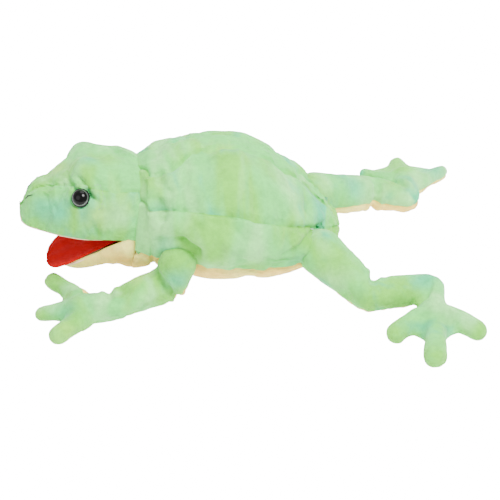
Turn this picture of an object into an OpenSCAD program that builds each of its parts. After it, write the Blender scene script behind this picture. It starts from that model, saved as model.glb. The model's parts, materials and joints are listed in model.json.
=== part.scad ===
// Plush frog hand puppet, lying limp on its belly with its mouth a little open.
// Head towards -X, tail end towards +X, left side towards -Y, up is +Z.
// The origin lies in the flat of the belly, in front of the opening for the hand.

/* [Torso] */
// Length of the torso from the collar to the rump
torso_length = 194; // [180:1:233]
// Greatest width of the torso
torso_width = 164; // [140:1:190]
// Greatest height of the torso
torso_height = 134; // [112:1:161]
// How far the collar stands in front of the origin
collar_front = 46; // [40:1:52]

/* [Fabric] */
// Thickness of the velour covers with their backing
cover_t = 2; // [1.5:0.1:2.6]
// Thickness of the lining that the hand slides in
lining_t = 1.2; // [0.8:0.1:1.6]
// Play between a cover and the filling inside it
fill_gap = 0.3; // [0.2:0.05:0.5]
// Width of the seam between two covers
seam_gap = 0.5; // [0.3:0.1:0.9]

/* [Hand room] */
// Radius of the opening in the belly, where the hand goes in
opening_r = 34; // [28:1:36]
// How far behind the collar the middle of the opening lies
opening_back = 106; // [96:1:112]
// Radius of the sleeve where it meets the neck
neck_bore_r = 31; // [26:1:37]
// Half width of the finger pocket in the head
pocket_half_w = 31; // [26:1:34]
// Half height of the finger pocket in the head
pocket_half_h = 15; // [12:1:17]

/* [Head] */
// Length of the head from the neck centre to the snout
head_length = 112; // [100:1:124]
// Greatest width of the head
head_width = 112; // [93:0.5:116]
// Height of the brow over the neck centre
brow_height = 63; // [56:1:66]
// Room between the ball-shaped collar and the front edge of the torso
collar_room = 5.5; // [4:0.5:8]
// How far the neck centre stands in front of that edge
neck_front = 18; // [16:1:22]
// Roll of the resting head, crown away from the left side
head_roll = -14; // [-18:1:0]
// Pitch of the resting head, snout up
head_pitch = 8; // [4:1:10]
// Turn of the resting head towards the left side
head_turn = 3; // [0:1:4]
// Diameter of the eyes
eye_d = 18; // [14:0.5:20]

/* [Mouth] */
// How far below the neck centre the roof of the mouth lies
palate_drop = 14; // [12:0.5:16]
// How far in front of the neck centre the corners of the mouth are
corner_front = 30; // [28:0.5:34]
// Length of the lower jaw's lining
jaw_length = 66; // [58:1:70]
// Length of the chin under it
chin_length = 50; // [44:1:54]
// Depth of the chin
chin_depth = 25; // [20:1:26]
// Half width of the chin
chin_half_w = 41; // [36:1:43]
// How far the mouth hangs open at rest
jaw_open = 34; // [28:1:36]
// Thickness of the board inside each half of the mouth
board_t = 1.5; // [1:0.1:2]
// Thickness of the mouth lining
felt_t = 1.2; // [0.8:0.1:1.6]

/* [Limbs] */
// Radius of the upper arm at the shoulder and elbow
arm_r = 18; // [15:0.5:19]
// Radius of the forearm at the wrist
wrist_r = 15; // [12:0.5:16]
// Radius of the thigh at the hip
hip_r = 24; // [20:0.1:28.8]
// Radius of the leg at the knee
knee_r = 18.5; // [15:0.5:20]
// Radius of the leg at the ankle
ankle_r = 16.5; // [14:0.5:18]
// Thickness of a palm
palm_t = 23; // [19:0.5:25]
// Thickness of a toe's tip
toe_t = 18; // [15:0.5:20]
// How far behind the collar the shoulders lie
shoulder_back = 26; // [22:1:40]
// How far in from the widest part of the torso the shoulders lie
shoulder_in = 8; // [4:1:14]
// Height of the shoulders
shoulder_height = 56; // [44:1:62]
// How far the elbows stay up from the floor
elbow_rise = 10; // [0:1:14]
// How far in front of the rump the hips lie
hip_front = 24; // [20:1:36]
// How far in from the widest part of the torso the hips lie
hip_in = 36; // [28:1:42]
// Height of the hips
hip_height = 38; // [32:1:44]

/* [Hidden] */

green = "#AEDCA0";
deep_green = "#86C98C";
mint = "#9FDDBE";
yellow = "#F7EDB5";
red = "#C4201C";
stuffing = "#F4F4EE";
lining_tone = "#D9E8CF";

// ---- seams of the torso and the head, as angles round the body
upper_seam = 108;
side_seam = 140;
belly_seam = 208;
cheek_seam = 118;
under_seam = 200;

// ---- play between bodies that move
collar_play = 2.5;
joint_play = 1.5;
swing_play = 1;
// Height of the limbs over the floor
lift = 1;

// ---- outline of the torso: place along it, half width, bottom and top as shares
torso_rows = [
  [0.00, 0.775, 0.00, 0.94],
  [0.13, 0.88, -0.03, 0.985],
  [0.30, 1.00, -0.04, 1.00],
  [0.47, 0.99, -0.04, 0.97],
  [0.61, 0.92, -0.03, 0.87],
  [0.76, 0.77, 0.02, 0.69],
  [0.88, 0.55, 0.09, 0.51],
  [0.96, 0.31, 0.17, 0.38],
  [1.00, 0.10, 0.24, 0.29]
];

// ---- neck, in the middle of the torso's front, and the nape that goes into the collar there
front_half = torso_rows[0][3] * torso_height / 2;
neck = [-collar_front - neck_front, 0, front_half - 1];
collar_r = front_half - collar_room;
nape_r = collar_r - 2.3;

// ---- outline of the head: place behind the snout, half width, top and middle as shares
head_rows = [
  [0.00, 0.10, 0.05, -0.12],
  [0.04, 0.27, 0.24, -0.10],
  [0.11, 0.46, 0.41, -0.07],
  [0.22, 0.64, 0.55, -0.05],
  [0.36, 0.79, 0.74, -0.03],
  [0.50, 0.91, 0.94, 0.00],
  [0.64, 0.97, 1.00, 0.03],
  [0.82, 1.00, 0.96, 0.05],
  [1.00, 2 * nape_r / head_width, nape_r / brow_height, 0.06]
];

// ---- way of each limb over the floor: root to middle joint, on to end joint, and how the paw points
left_arm_way = [[-10, 0], [-56, -16], [-41, -1]];
right_arm_way = [[-6, 12], [-48, 22], [-32, 4]];
left_leg_way = [[44, -45], [63, 7], [-1, -46]];
right_leg_way = [[66, 20], [36, -8], [1, 38]];

// ---- knuckles and tips of the three toes, from the root of the paw
left_knuckles = [[-3.4, 17.8], [-10.4, -0.2], [1.6, -15.2]];
left_fingers = [[-31.4, 44.8], [-38.4, -2.2], [-21.4, -33.2]];
right_knuckles = [[2.4, -18.8], [-1.6, 0.2], [5.4, 15.2]];
right_fingers = [[-25.6, -29.8], [-35.6, 7.2], [-15.6, 38.2]];
left_heels = [[-15.3, -1.5], [-0.3, -12.5], [15.7, -0.5]];
left_toes = [[-39.3, -21.5], [-6.3, -55.5], [38.7, -22.5]];
right_heels = [[-13.9, -1.5], [0.1, 4.5], [16.1, -5.5]];
right_toes = [[-35.9, 16.5], [-2.9, 35.5], [43.1, 16.5]];

// How far below the middle of a limb its side seams run, as an angle
seam_side = 20;
// How far a limb swings each way at the shoulder and the hip
swing = 22;

// ---------------------------------------------------------------- helpers

function unit(v) = v / norm(v);
function share(a, b, t) = a + (b - a) * t;
function steps(a, b, n) = [for (i = [0:n]) share(a, b, i / n)];
function signed_pow(v, p) = sign(v) * pow(abs(v), p);

// A row between rows i and i + 1 on a smooth curve through all of them
function curve_row(rows, i, t) = let (
  last = len(rows) - 1,
  p0 = rows[max(i - 1, 0)],
  p1 = rows[i],
  p2 = rows[min(i + 1, last)],
  p3 = rows[min(i + 2, last)]
) 0.5 * (2 * p1 + (p2 - p0) * t + (2 * p0 - 5 * p1 + 4 * p2 - p3) * t * t
  + (3 * p1 - p0 - 3 * p2 + p3) * t * t * t);
function smooth_rows(rows, n) = concat(
  [for (i = [0:len(rows) - 2], k = [0:n - 1]) curve_row(rows, i, k / n)],
  [rows[len(rows) - 1]]
);

// Point at angle t of a rounded section: half width, middle, rise, fall, upper and lower squareness
function section(w, mid, rise, fall, t, upper, lower) = let (
  p = 2 / (sin(t) < 0 ? lower : upper)
) [w * signed_pow(cos(t), p), mid + (sin(t) < 0 ? fall : rise) * signed_pow(sin(t), p)];

// Closed solid through rings of points that run counter-clockwise about the way they advance
module loft(rings) {
  n = len(rings[0]);
  m = len(rings);
  sides = [for (i = [0:m - 2], j = [0:n - 1]) let (a = i * n + j, b = i * n + (j + 1) % n)
    each [[a, a + n, b + n], [a, b + n, b]]];
  polyhedron(
    [for (r = rings) each r],
    concat([[for (j = [0:n - 1]) j]], sides, [[for (j = [n - 1:-1:0]) (m - 1) * n + j]])
  );
}

// Closed sheet of some thickness between an outer and an inner grid of points
module thick_patch(outer, inner) {
  n = len(outer[0]);
  m = len(outer);
  k = m * n;
  faces = concat(
    [for (i = [0:m - 2], j = [0:n - 2]) let (a = i * n + j, b = a + 1)
      each [[a, a + n, b + n], [a, b + n, b], [k + a, k + b + n, k + a + n], [k + a, k + b, k + b + n]]],
    [for (i = [0:m - 2]) let (a = i * n) each [[a + n, a, k + a], [a + n, k + a, k + a + n]]],
    [for (i = [0:m - 2]) let (b = i * n + n - 1) each [[b, b + n, k + b + n], [b, k + b + n, k + b]]],
    [for (j = [0:n - 2]) each [[j, j + 1, k + j + 1], [j, k + j + 1, k + j]]],
    [for (j = [0:n - 2]) let (a = (m - 1) * n + j, b = a + 1) each [[b, a, k + a], [b, k + a, k + b]]]
  );
  polyhedron(concat([for (r = outer) each r], [for (r = inner) each r]), faces);
}

// Open pipe between closed outer and inner rings
module pipe(outer, inner) {
  n = len(outer[0]);
  m = len(outer);
  k = m * n;
  faces = concat(
    [for (i = [0:m - 2], j = [0:n - 1]) let (a = i * n + j, b = i * n + (j + 1) % n)
      each [[a, a + n, b + n], [a, b + n, b], [k + a, k + b + n, k + a + n], [k + a, k + b, k + b + n]]],
    [for (j = [0:n - 1]) let (b = (j + 1) % n) each [[j, b, k + b], [j, k + b, k + j]]],
    [for (j = [0:n - 1]) let (a = (m - 1) * n + j, b = (m - 1) * n + (j + 1) % n)
      each [[b, a, k + a], [b, k + a, k + b]]]
  );
  polyhedron(concat([for (r = outer) each r], [for (r = inner) each r]), faces);
}

// ---------------------------------------------------------------- torso

torso_table = smooth_rows(torso_rows, 2);
// The flanks end at the hips, where the covers of the thighs take over
flank_table = [for (r = torso_table) if (r[0] <= 0.88) r];
torso_fill_rows = smooth_rows(torso_rows, 1);

// Ring of the torso at a row of its table, drawn in by inset, over the angles given
function torso_ring(row, inset, angles) = let (
  low = row[2] * torso_height,
  high = row[3] * torso_height,
  mid = (low + high) / 2,
  half = (high - low) / 2 - inset,
  w = max(row[1] * torso_width / 2 - inset, 1)
) [for (t = angles) let (p = section(w, mid, half, half, t, 2.15, 2.2))
  [row[0] * torso_length - collar_front, p[0], max(p[1], inset)]];

module torso_sheet(from, to, count, rows = torso_table) {
  edge = seam_gap / 2 / torso_width * 115;
  angles = steps(from + edge, to - edge, count);
  thick_patch(
    [for (r = rows) torso_ring(r, 0, angles)],
    [for (r = rows) torso_ring(r, cover_t, angles)]
  );
}

// Room that a swinging limb needs in the side of the torso
module limb_room(limb, r) {
  root = limb[0];
  way = unit(limb[1] - limb[0]) * r * 1.7;
  for (turn = [-swing, swing]) hull() {
    translate(root) sphere(r + swing_play, $fn = 16);
    translate(root + [
      way[0] * cos(turn) - way[1] * sin(turn),
      way[0] * sin(turn) + way[1] * cos(turn),
      way[2]
    ]) sphere(r + swing_play, $fn = 16);
  }
}

module left_rooms() {
  limb_room(left_arm, arm_r);
  limb_room(left_leg, hip_r);
}

module right_rooms() {
  limb_room(right_arm, arm_r);
  limb_room(right_leg, hip_r);
}

// Way of the hand: from the belly up and forward to the neck, as place, slope and radius
opening_x = opening_back - collar_front;
sleeve_rows = [
  [opening_x, 0, 90, opening_r],
  [opening_x, 22, 95, opening_r],
  [opening_x - 8, 44, 125, opening_r + 1],
  [opening_x - 30, 60, 160, opening_r],
  [opening_x - 52, neck[2], 178, neck_bore_r + 1],
  [neck[0] + sqrt(collar_r * collar_r - neck_bore_r * neck_bore_r) + 3.5, neck[2], 180, neck_bore_r]
];

function sleeve_ring(row, grow) = [for (t = [0:18:342]) let (
  r = row[3] + grow,
  out = r * sin(t)
) [row[0] - out * sin(row[2]), r * cos(t), row[1] + out * cos(row[2])]];

function sleeve_rings(grow, extra) = [for (i = [0:len(sleeve_rows) - 1]) let (
  row = sleeve_rows[i],
  way = [cos(row[2]), 0, sin(row[2])],
  push = i == 0 ? -extra : (i == len(sleeve_rows) - 1 ? extra : 0)
) [for (p = sleeve_ring(row, grow)) p + way * push]];

module back_panel() {
  color(green) torso_sheet(180 - upper_seam, upper_seam, 4);
}

module left_upper_panel() {
  color(mint) difference() {
    torso_sheet(upper_seam, side_seam, 3);
    left_rooms();
  }
}

module right_upper_panel() {
  color(mint) difference() {
    torso_sheet(180 - side_seam, 180 - upper_seam, 3);
    right_rooms();
  }
}

module left_flank_panel() {
  color(green) difference() {
    torso_sheet(side_seam, belly_seam, 6, flank_table);
    left_rooms();
  }
}

module right_flank_panel() {
  color(green) difference() {
    torso_sheet(-(belly_seam - 180), 180 - side_seam, 6, flank_table);
    right_rooms();
  }
}

module belly_panel() {
  color(yellow) difference() {
    torso_sheet(belly_seam, 540 - belly_seam, 12);
    left_rooms();
    right_rooms();
    translate([opening_x, 0, -5]) cylinder(h = 60, r = opening_r + lining_t + seam_gap, $fn = 40);
  }
}

module torso_filling() {
  angles = steps(0, 345, 23);
  inset = cover_t + fill_gap;
  color(stuffing) difference() {
    loft([for (r = torso_fill_rows) torso_ring(r, inset, angles)]);
    left_rooms();
    right_rooms();
    loft(sleeve_rings(lining_t + fill_gap, 20));
    translate(neck) sphere(collar_r + collar_play, $fn = 32);
  }
}

module hand_sleeve() {
  color(lining_tone) pipe(sleeve_rings(lining_t, 0), sleeve_rings(0, 0));
}

// ---------------------------------------------------------------- head

// Puts what is drawn about the neck centre in the resting head's place
module in_head() {
  translate(neck) rotate([head_roll, head_pitch, head_turn]) children();
}

head_table = smooth_rows(head_rows, 2);

function head_ring(row, inset, angles) = let (
  mid = row[3] * brow_height,
  rise = row[2] * brow_height - mid - inset,
  fall = mid + palate_drop - min(inset, fill_gap),
  w = max(row[1] * head_width / 2 - inset, 1)
) [for (t = angles) let (p = section(w, mid, max(rise, 1), fall, t, 2.3, 4))
  [row[0] * head_length - head_length, p[0], p[1]]];

module head_sheet(from, to, count) {
  edge = seam_gap / head_width * 115 / 2;
  angles = steps(from + edge, to - edge, count);
  thick_patch(
    [for (r = head_table) head_ring(r, 0, angles)],
    [for (r = head_table) head_ring(r, cover_t, angles)]
  );
}

// Finger pocket: place, half width, half height and middle
pocket_rows = [
  [-0.70 * head_length, 0.72 * pocket_half_w, 0.66 * pocket_half_h, 3],
  [-0.40 * head_length, 0.97 * pocket_half_w, pocket_half_h, 6],
  [-0.08 * head_length, pocket_half_w, 1.2 * pocket_half_h, 6],
  [0.16 * head_length, neck_bore_r, 1.6 * pocket_half_h, 2],
  [sqrt(collar_r * collar_r - neck_bore_r * neck_bore_r) - 3, neck_bore_r - 2, neck_bore_r - 2, 0]
];

function pocket_rings(grow, front, back) = [for (i = [0:len(pocket_rows) - 1]) let (
  row = pocket_rows[i],
  push = i == 0 ? -front : (i == len(pocket_rows) - 1 ? back : 0)
) [for (t = [0:20:340]) [row[0] + push, (row[1] + grow) * cos(t), row[3] + (row[2] + grow) * sin(t)]]];

// Room round the eye's shank and washer
eye_place = [-0.49 * head_length, 0.395 * head_width, 0.52 * brow_height];
eye_way = unit([-0.30, 0.80, 0.52]);
shank_r = 3;
shank_l = 13;
washer_r = 9;
washer_t = 2;

module at_eye(side) {
  place = [eye_place[0], side * eye_place[1], eye_place[2]];
  way = [eye_way[0], side * eye_way[1], eye_way[2]];
  translate(place) rotate([0, acos(way[2]), atan2(way[1], way[0])]) children();
}

seat = 2;

module eye_room(side) {
  at_eye(side) {
    translate([0, 0, -shank_l - 1]) cylinder(h = 60, r = shank_r + joint_play, $fn = 24);
    translate([0, 0, seat]) cylinder(h = 40, r = eye_d / 2 + fill_gap, $fn = 48);
  }
}

module washer_room(side) {
  at_eye(side) translate([0, 0, -9.4]) cylinder(h = washer_t + 1.4, r = washer_r + 0.7, $fn = 32);
}

// Thread sewn through the snout on each side, with play around it
nostril = [-0.945 * head_length, 0.11 * head_width, 0.235 * brow_height];
thread_r = 0.7;

module stitch_pair(play, facets) {
  for (side = [-1, 1])
    translate([nostril[0], side * nostril[1], nostril[2] + 1.2])
      rotate([0, -12, side * -24]) rotate([0, 90, 0])
        cylinder(h = 11 + 2 * play, r = thread_r + play, center = true, $fn = facets);
}

module crown_panel() {
  color(green) in_head() difference() {
    head_sheet(180 - cheek_seam, cheek_seam, 6);
    stitch_pair(fill_gap, 8);
  }
}

module left_cheek_panel() {
  color(mint) in_head() difference() {
    mirror([0, 1, 0]) head_sheet(180 - under_seam, 180 - cheek_seam, 8);
    eye_room(-1);
    stitch_pair(fill_gap, 8);
  }
}

module right_cheek_panel() {
  color(mint) in_head() difference() {
    head_sheet(180 - under_seam, 180 - cheek_seam, 8);
    eye_room(1);
    stitch_pair(fill_gap, 8);
  }
}

// Throat: place, half width and drop as shares of the nape's radius
throat_rows = [
  [-34, 0.87, 0.80],
  [-22, 0.93, 0.89],
  [-10, 0.97, 0.96],
  [-1, 0.98, 0.99]
];

function throat_ring(row, inset) = [for (t = steps(188, 352, 14)) [
  row[0],
  (row[1] * nape_r - inset) * cos(t),
  -palate_drop - 1 + (row[2] * nape_r - palate_drop - inset) * sin(t)
]];

module throat_panel() {
  color(yellow) in_head() difference() {
    thick_patch([for (r = throat_rows) throat_ring(r, 0)], [for (r = throat_rows) throat_ring(r, cover_t)]);
    translate([-corner_front, 80, -hinge_drop]) rotate([90, 0, 0]) cylinder(h = 160, r = chin_depth + 8, $fn = 48);
  }
}

// Zone of a ball that stays in the torso's collar while the head nods
module neck_collar() {
  reach = asin(neck_bore_r / collar_r);
  angles = steps(89, reach, 6);
  color(deep_green) in_head() pipe(
    [for (a = angles) [for (t = [0:12:348]) collar_r * [cos(a), sin(a) * cos(t), sin(a) * sin(t)]]],
    [for (a = angles) [for (t = [0:12:348]) (collar_r - cover_t) * [cos(a), sin(a) * cos(t), sin(a) * sin(t)]]]
  );
}

module head_filling() {
  angles = steps(0, 345, 23);
  color(stuffing) in_head() difference() {
    loft([for (i = [1:len(head_rows) - 1]) head_ring(head_rows[i], cover_t + fill_gap, angles)]);
    loft(pocket_rings(lining_t + fill_gap, 3, 20));
    stitch_pair(fill_gap, 8);
    for (side = [-1, 1]) {
      eye_room(side);
      washer_room(side);
    }
  }
}

module finger_pocket() {
  color(lining_tone) in_head() difference() {
    loft(pocket_rings(lining_t, lining_t, 0));
    loft(pocket_rings(0, 0, 1));
  }
}

// ---- mouth

hinge_drop = palate_drop + board_t + 2 * felt_t + 1.6;

// Outline of the palate under the head, from the corners to the snout
function palate_outline(inset) = let (
  half = [for (r = head_table) if ((r[0] - 1) * head_length < -corner_front - 1)
    [(r[0] - 1) * head_length + (r[0] == 0 ? inset : 0), r[1] * head_width / 2 * 0.93 - inset]]
) concat(
  [for (p = half) [p[0], max(p[1], 1)]],
  [for (i = [len(half) - 1:-1:0]) [half[i][0], -max(half[i][1], 1)]]
);

module upper_mouth_board() {
  color("#C9B08A") in_head() translate([0, 0, -palate_drop - 0.2 - board_t])
    linear_extrude(board_t) polygon(palate_outline(3));
}

module upper_mouth_lining() {
  color(red) in_head() translate([0, 0, -palate_drop - 0.4 - board_t - felt_t])
    linear_extrude(felt_t) polygon(palate_outline(1.5));
}

// Puts what is drawn about the corners of the mouth in the resting jaw's place
module in_jaw() {
  in_head() translate([-corner_front, 0, -hinge_drop]) rotate([0, -jaw_open, 0]) children();
}

module jaw_outline(long, half) {
  nose = half * 0.62;
  hull() {
    translate([-3 - 1, -half]) square([1, 2 * half]);
    translate([-long * 0.5, 0]) square([1, 1.92 * half], center = true);
    translate([-long + nose, 0]) circle(nose, $fn = 40);
  }
}

module lower_mouth_board() {
  color("#C9B08A") in_jaw() translate([0, 0, -felt_t - 0.2 - board_t])
    linear_extrude(board_t) jaw_outline(jaw_length - 2.5, chin_half_w - 2.5);
}

module lower_mouth_lining() {
  color(red) in_jaw() translate([0, 0, -felt_t])
    linear_extrude(felt_t) jaw_outline(jaw_length, chin_half_w - 0.5);
}

chin_rows = [
  [1.00, 0.46, 0.28],
  [0.93, 0.62, 0.55],
  [0.76, 0.80, 0.82],
  [0.50, 0.94, 0.97],
  [0.25, 1.00, 1.00],
  [0.07, 1.00, 0.92]
];

function chin_ring(row, inset) = [for (t = steps(180, 360, 16)) [
  -row[0] * chin_length,
  (row[1] * chin_half_w - inset) * cos(t),
  -felt_t - board_t - 0.5 + (row[2] * chin_depth - inset) * signed_pow(sin(t), 0.85)
]];

module chin_panel() {
  color(yellow) in_jaw() thick_patch(
    [for (r = chin_rows) chin_ring(r, 0)],
    [for (r = chin_rows) chin_ring(r, cover_t)]
  );
}

// ---- eyes and nostrils

module eye(side) {
  dome_h = eye_d * 0.36;
  ball_r = (eye_d * eye_d / 4 + dome_h * dome_h) / (2 * dome_h);
  color("#151515") in_head() at_eye(side) {
    intersection() {
      translate([0, 0, dome_h - ball_r + seat + 0.2]) sphere(ball_r, $fn = 64);
      translate([0, 0, seat + 0.2]) cylinder(h = eye_d, r = eye_d / 2, $fn = 64);
    }
    translate([0, 0, -shank_l]) cylinder(h = shank_l + seat + 0.7, r = shank_r, $fn = 32);
  }
}

module left_eye() {
  eye(-1);
}

module right_eye() {
  eye(1);
}

module eye_washers() {
  color("#E8E8E8") in_head() for (side = [-1, 1]) at_eye(side) translate([0, 0, -8.7]) difference() {
    cylinder(h = washer_t, r = washer_r, $fn = 40);
    translate([0, 0, -1]) cylinder(h = washer_t + 2, r = shank_r + 0.05, $fn = 32);
  }
}

module nostril_stitches() {
  color("#202020") in_head() stitch_pair(0, 16);
}

// ---------------------------------------------------------------- limbs

// Joints of a limb on one side of the puppet: the root, then points that lie on the floor
function limb(root, side, way, mid_r, mid_rise, end_r) = let (
  a = [root[0], side * root[1], root[2]]
) [
  a,
  [a[0] + way[0][0], a[1] + way[0][1], mid_r + lift + mid_rise],
  [a[0] + way[0][0] + way[1][0], a[1] + way[0][1] + way[1][1], end_r + lift]
];

shoulder = [shoulder_back - collar_front, torso_width / 2 - shoulder_in, shoulder_height];
hip = [torso_length - collar_front - hip_front, torso_width / 2 - hip_in, hip_height];
left_arm = limb(shoulder, -1, left_arm_way, arm_r, elbow_rise, wrist_r);
right_arm = limb(shoulder, 1, right_arm_way, arm_r, elbow_rise, wrist_r);
left_leg = limb(hip, -1, left_leg_way, knee_r, 0, ankle_r);
right_leg = limb(hip, 1, right_leg_way, knee_r, 0, ankle_r);

// A stretch ends in a half ball about its joint. The next one starts with a half ball that clears it.
next_r = 0.94;
function start_of(joint, goal, r) = joint + unit(goal - joint) * (r + next_r * r + joint_play);

function limb_frame(a, b) = let (
  d = unit(b - a),
  u = unit(cross([0, 0, 1], d))
) [u, cross(d, u), d];

// Rings of a round-ended stretch, drawn in by inset, over the angles given
function limb_rings(a, b, ra, rb, inset, angles) = let (
  f = limb_frame(a, b),
  tilt = [for (k = [-78, -50, -22, 0]) k],
  first = [for (k = tilt) [a + f[2] * (ra - inset) * sin(k), (ra - inset) * cos(k)]],
  last = [for (k = [3:-1:0]) [b - f[2] * (rb - inset) * sin(tilt[k]), (rb - inset) * cos(tilt[k])]]
) [for (s = concat(first, last)) [for (t = angles) s[0] + s[1] * (f[0] * cos(t) + f[1] * sin(t))]];

// Radius of a filling that fits inside the flats of the cover around it
function fill_r(r) = (r - cover_t) * cos(14) - fill_gap;

// part: 0 is the green top cover, 1 the yellow under cover, 2 the filling
module stretch(a, b, ra, rb, part, tone) {
  if (part == 2)
    color(stuffing) loft(limb_rings(a, b, fill_r(ra), fill_r(rb), 0, steps(0, 330, 11)));
  else {
    angles = part == 0 ? steps(-seam_side + 1, 180 + seam_side - 1, 8)
      : steps(180 + seam_side + 1, 360 - seam_side - 1, 6);
    color(part == 0 ? tone : yellow) thick_patch(
      limb_rings(a, b, ra, rb, 0, angles),
      limb_rings(a, b, ra, rb, cover_t, angles)
    );
  }
}

module upper_arm(limb, part) {
  stretch(limb[0], limb[1], arm_r, arm_r, part, mint);
}

module forearm(limb, part) {
  stretch(start_of(limb[1], limb[2], arm_r), limb[2], arm_r * next_r, wrist_r, part, green);
}

module thigh(limb, part) {
  stretch(limb[0], limb[1], hip_r, knee_r, part, green);
}

module shin(limb, part) {
  stretch(start_of(limb[1], limb[2], knee_r), limb[2], knee_r * next_r, ankle_r, part, mint);
}

// Solid of a hand or foot with three toes, drawn in by inset
module paw_solid(root, root_r, knuckles, tips, inset) {
  hull() {
    translate(root) sphere(root_r - inset, $fn = 12);
    for (k = knuckles) translate([k[0], k[1], palm_t / 2]) sphere(palm_t / 2 - inset, $fn = 12);
  }
  for (i = [0:2]) hull() {
    translate([knuckles[i][0], knuckles[i][1], palm_t / 2]) sphere(palm_t / 2 - inset, $fn = 12);
    translate([tips[i][0], tips[i][1], toe_t / 2]) sphere(toe_t / 2 - inset, $fn = 12);
  }
}

module paw(joint, joint_r, way, from_knuckles, from_tips, part) {
  root_r = joint_r * next_r;
  root = start_of(joint, joint + [way[0], way[1], 0], joint_r);
  flat = [root[0], root[1]];
  knuckles = [for (k = from_knuckles) flat + k];
  tips = [for (k = from_tips) flat + k];
  level = toe_t / 2 - 1;
  if (part == 2)
    color(stuffing) paw_solid(root, root_r, knuckles, tips, cover_t + fill_gap);
  else
    color(part == 0 ? green : yellow) difference() {
      paw_solid(root, root_r, knuckles, tips, 0);
      paw_solid(root, root_r, knuckles, tips, cover_t);
      translate([flat[0] - 150, flat[1] - 150, part == 0 ? level + seam_gap / 2 - 100 : level - seam_gap / 2])
        cube([300, 300, 100]);
    }
}

module left_hand(part) {
  paw(left_arm[2], wrist_r, left_arm_way[2], left_knuckles, left_fingers, part);
}

module right_hand(part) {
  paw(right_arm[2], wrist_r, right_arm_way[2], right_knuckles, right_fingers, part);
}

module left_foot(part) {
  paw(left_leg[2], ankle_r, left_leg_way[2], left_heels, left_toes, part);
}

module right_foot(part) {
  paw(right_leg[2], ankle_r, right_leg_way[2], right_heels, right_toes, part);
}

// ---------------------------------------------------------------- what is drawn

back_panel();
left_upper_panel();
right_upper_panel();
left_flank_panel();
right_flank_panel();
belly_panel();
torso_filling();
hand_sleeve();
crown_panel();
left_cheek_panel();
right_cheek_panel();
throat_panel();
neck_collar();
head_filling();
finger_pocket();
upper_mouth_board();
upper_mouth_lining();
left_eye();
right_eye();
eye_washers();
nostril_stitches();
lower_mouth_board();
lower_mouth_lining();
chin_panel();
upper_arm(left_arm, 0);  // left_upper_arm_top
upper_arm(left_arm, 1);  // left_upper_arm_under
upper_arm(left_arm, 2);  // left_upper_arm_filling
forearm(left_arm, 0);  // left_forearm_top
forearm(left_arm, 1);  // left_forearm_under
forearm(left_arm, 2);  // left_forearm_filling
left_hand(0);  // left_hand_top
left_hand(1);  // left_hand_under
left_hand(2);  // left_hand_filling
upper_arm(right_arm, 0);  // right_upper_arm_top
upper_arm(right_arm, 1);  // right_upper_arm_under
upper_arm(right_arm, 2);  // right_upper_arm_filling
forearm(right_arm, 0);  // right_forearm_top
forearm(right_arm, 1);  // right_forearm_under
forearm(right_arm, 2);  // right_forearm_filling
right_hand(0);  // right_hand_top
right_hand(1);  // right_hand_under
right_hand(2);  // right_hand_filling
thigh(left_leg, 0);  // left_thigh_top
thigh(left_leg, 1);  // left_thigh_under
thigh(left_leg, 2);  // left_thigh_filling
shin(left_leg, 0);  // left_shin_top
shin(left_leg, 1);  // left_shin_under
shin(left_leg, 2);  // left_shin_filling
left_foot(0);  // left_foot_top
left_foot(1);  // left_foot_under
left_foot(2);  // left_foot_filling
thigh(right_leg, 0);  // right_thigh_top
thigh(right_leg, 1);  // right_thigh_under
thigh(right_leg, 2);  // right_thigh_filling
shin(right_leg, 0);  // right_shin_top
shin(right_leg, 1);  // right_shin_under
shin(right_leg, 2);  // right_shin_filling
right_foot(0);  // right_foot_top
right_foot(1);  // right_foot_under
right_foot(2);  // right_foot_filling
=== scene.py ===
import json
import math

import bmesh
import bpy
import numpy as np
from mathutils import Matrix, Vector


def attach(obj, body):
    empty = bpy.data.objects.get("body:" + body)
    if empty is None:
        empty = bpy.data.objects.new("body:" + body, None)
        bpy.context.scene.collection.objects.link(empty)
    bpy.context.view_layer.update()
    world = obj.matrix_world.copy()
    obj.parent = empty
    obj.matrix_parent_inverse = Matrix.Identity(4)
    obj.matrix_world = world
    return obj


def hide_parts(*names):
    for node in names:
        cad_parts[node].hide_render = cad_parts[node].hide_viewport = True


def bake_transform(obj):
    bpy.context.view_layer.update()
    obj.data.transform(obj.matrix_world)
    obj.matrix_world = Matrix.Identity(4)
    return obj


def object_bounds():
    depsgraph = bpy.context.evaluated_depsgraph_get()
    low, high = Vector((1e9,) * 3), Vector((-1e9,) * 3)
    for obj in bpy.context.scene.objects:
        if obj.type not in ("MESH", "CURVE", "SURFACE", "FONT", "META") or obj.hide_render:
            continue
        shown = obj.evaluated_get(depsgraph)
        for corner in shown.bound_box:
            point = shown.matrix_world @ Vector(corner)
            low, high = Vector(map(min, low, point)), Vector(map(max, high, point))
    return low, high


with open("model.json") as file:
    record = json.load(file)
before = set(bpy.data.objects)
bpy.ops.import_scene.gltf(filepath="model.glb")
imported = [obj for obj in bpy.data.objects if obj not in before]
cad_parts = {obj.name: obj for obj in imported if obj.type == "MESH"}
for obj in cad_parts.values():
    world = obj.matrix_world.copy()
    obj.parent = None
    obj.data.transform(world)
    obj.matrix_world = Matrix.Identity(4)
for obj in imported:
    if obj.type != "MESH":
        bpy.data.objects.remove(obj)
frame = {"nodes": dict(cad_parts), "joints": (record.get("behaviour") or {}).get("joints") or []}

cadLow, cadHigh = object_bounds()
scene = bpy.context.scene
joints = {j["name"]: j for j in frame["joints"]}
neckPoint = np.array(joints["neck_nod"]["pos_m"])
mm = 0.001


# ---- camera, floor and light

studio = {
    "azimuth": -3, "elevation": 42, "distance": 1.5, "lens": 102.9,
    "aim": (0.0547, 0.0, 0.0042),  # right, unused, up of the belly point, as the picture is framed
    "floorSize": 4.0, "keyPower": 85, "fillPower": 14, "rimPower": 16, "sky": 1.0, "floorGlow": 16.0,
}


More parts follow.
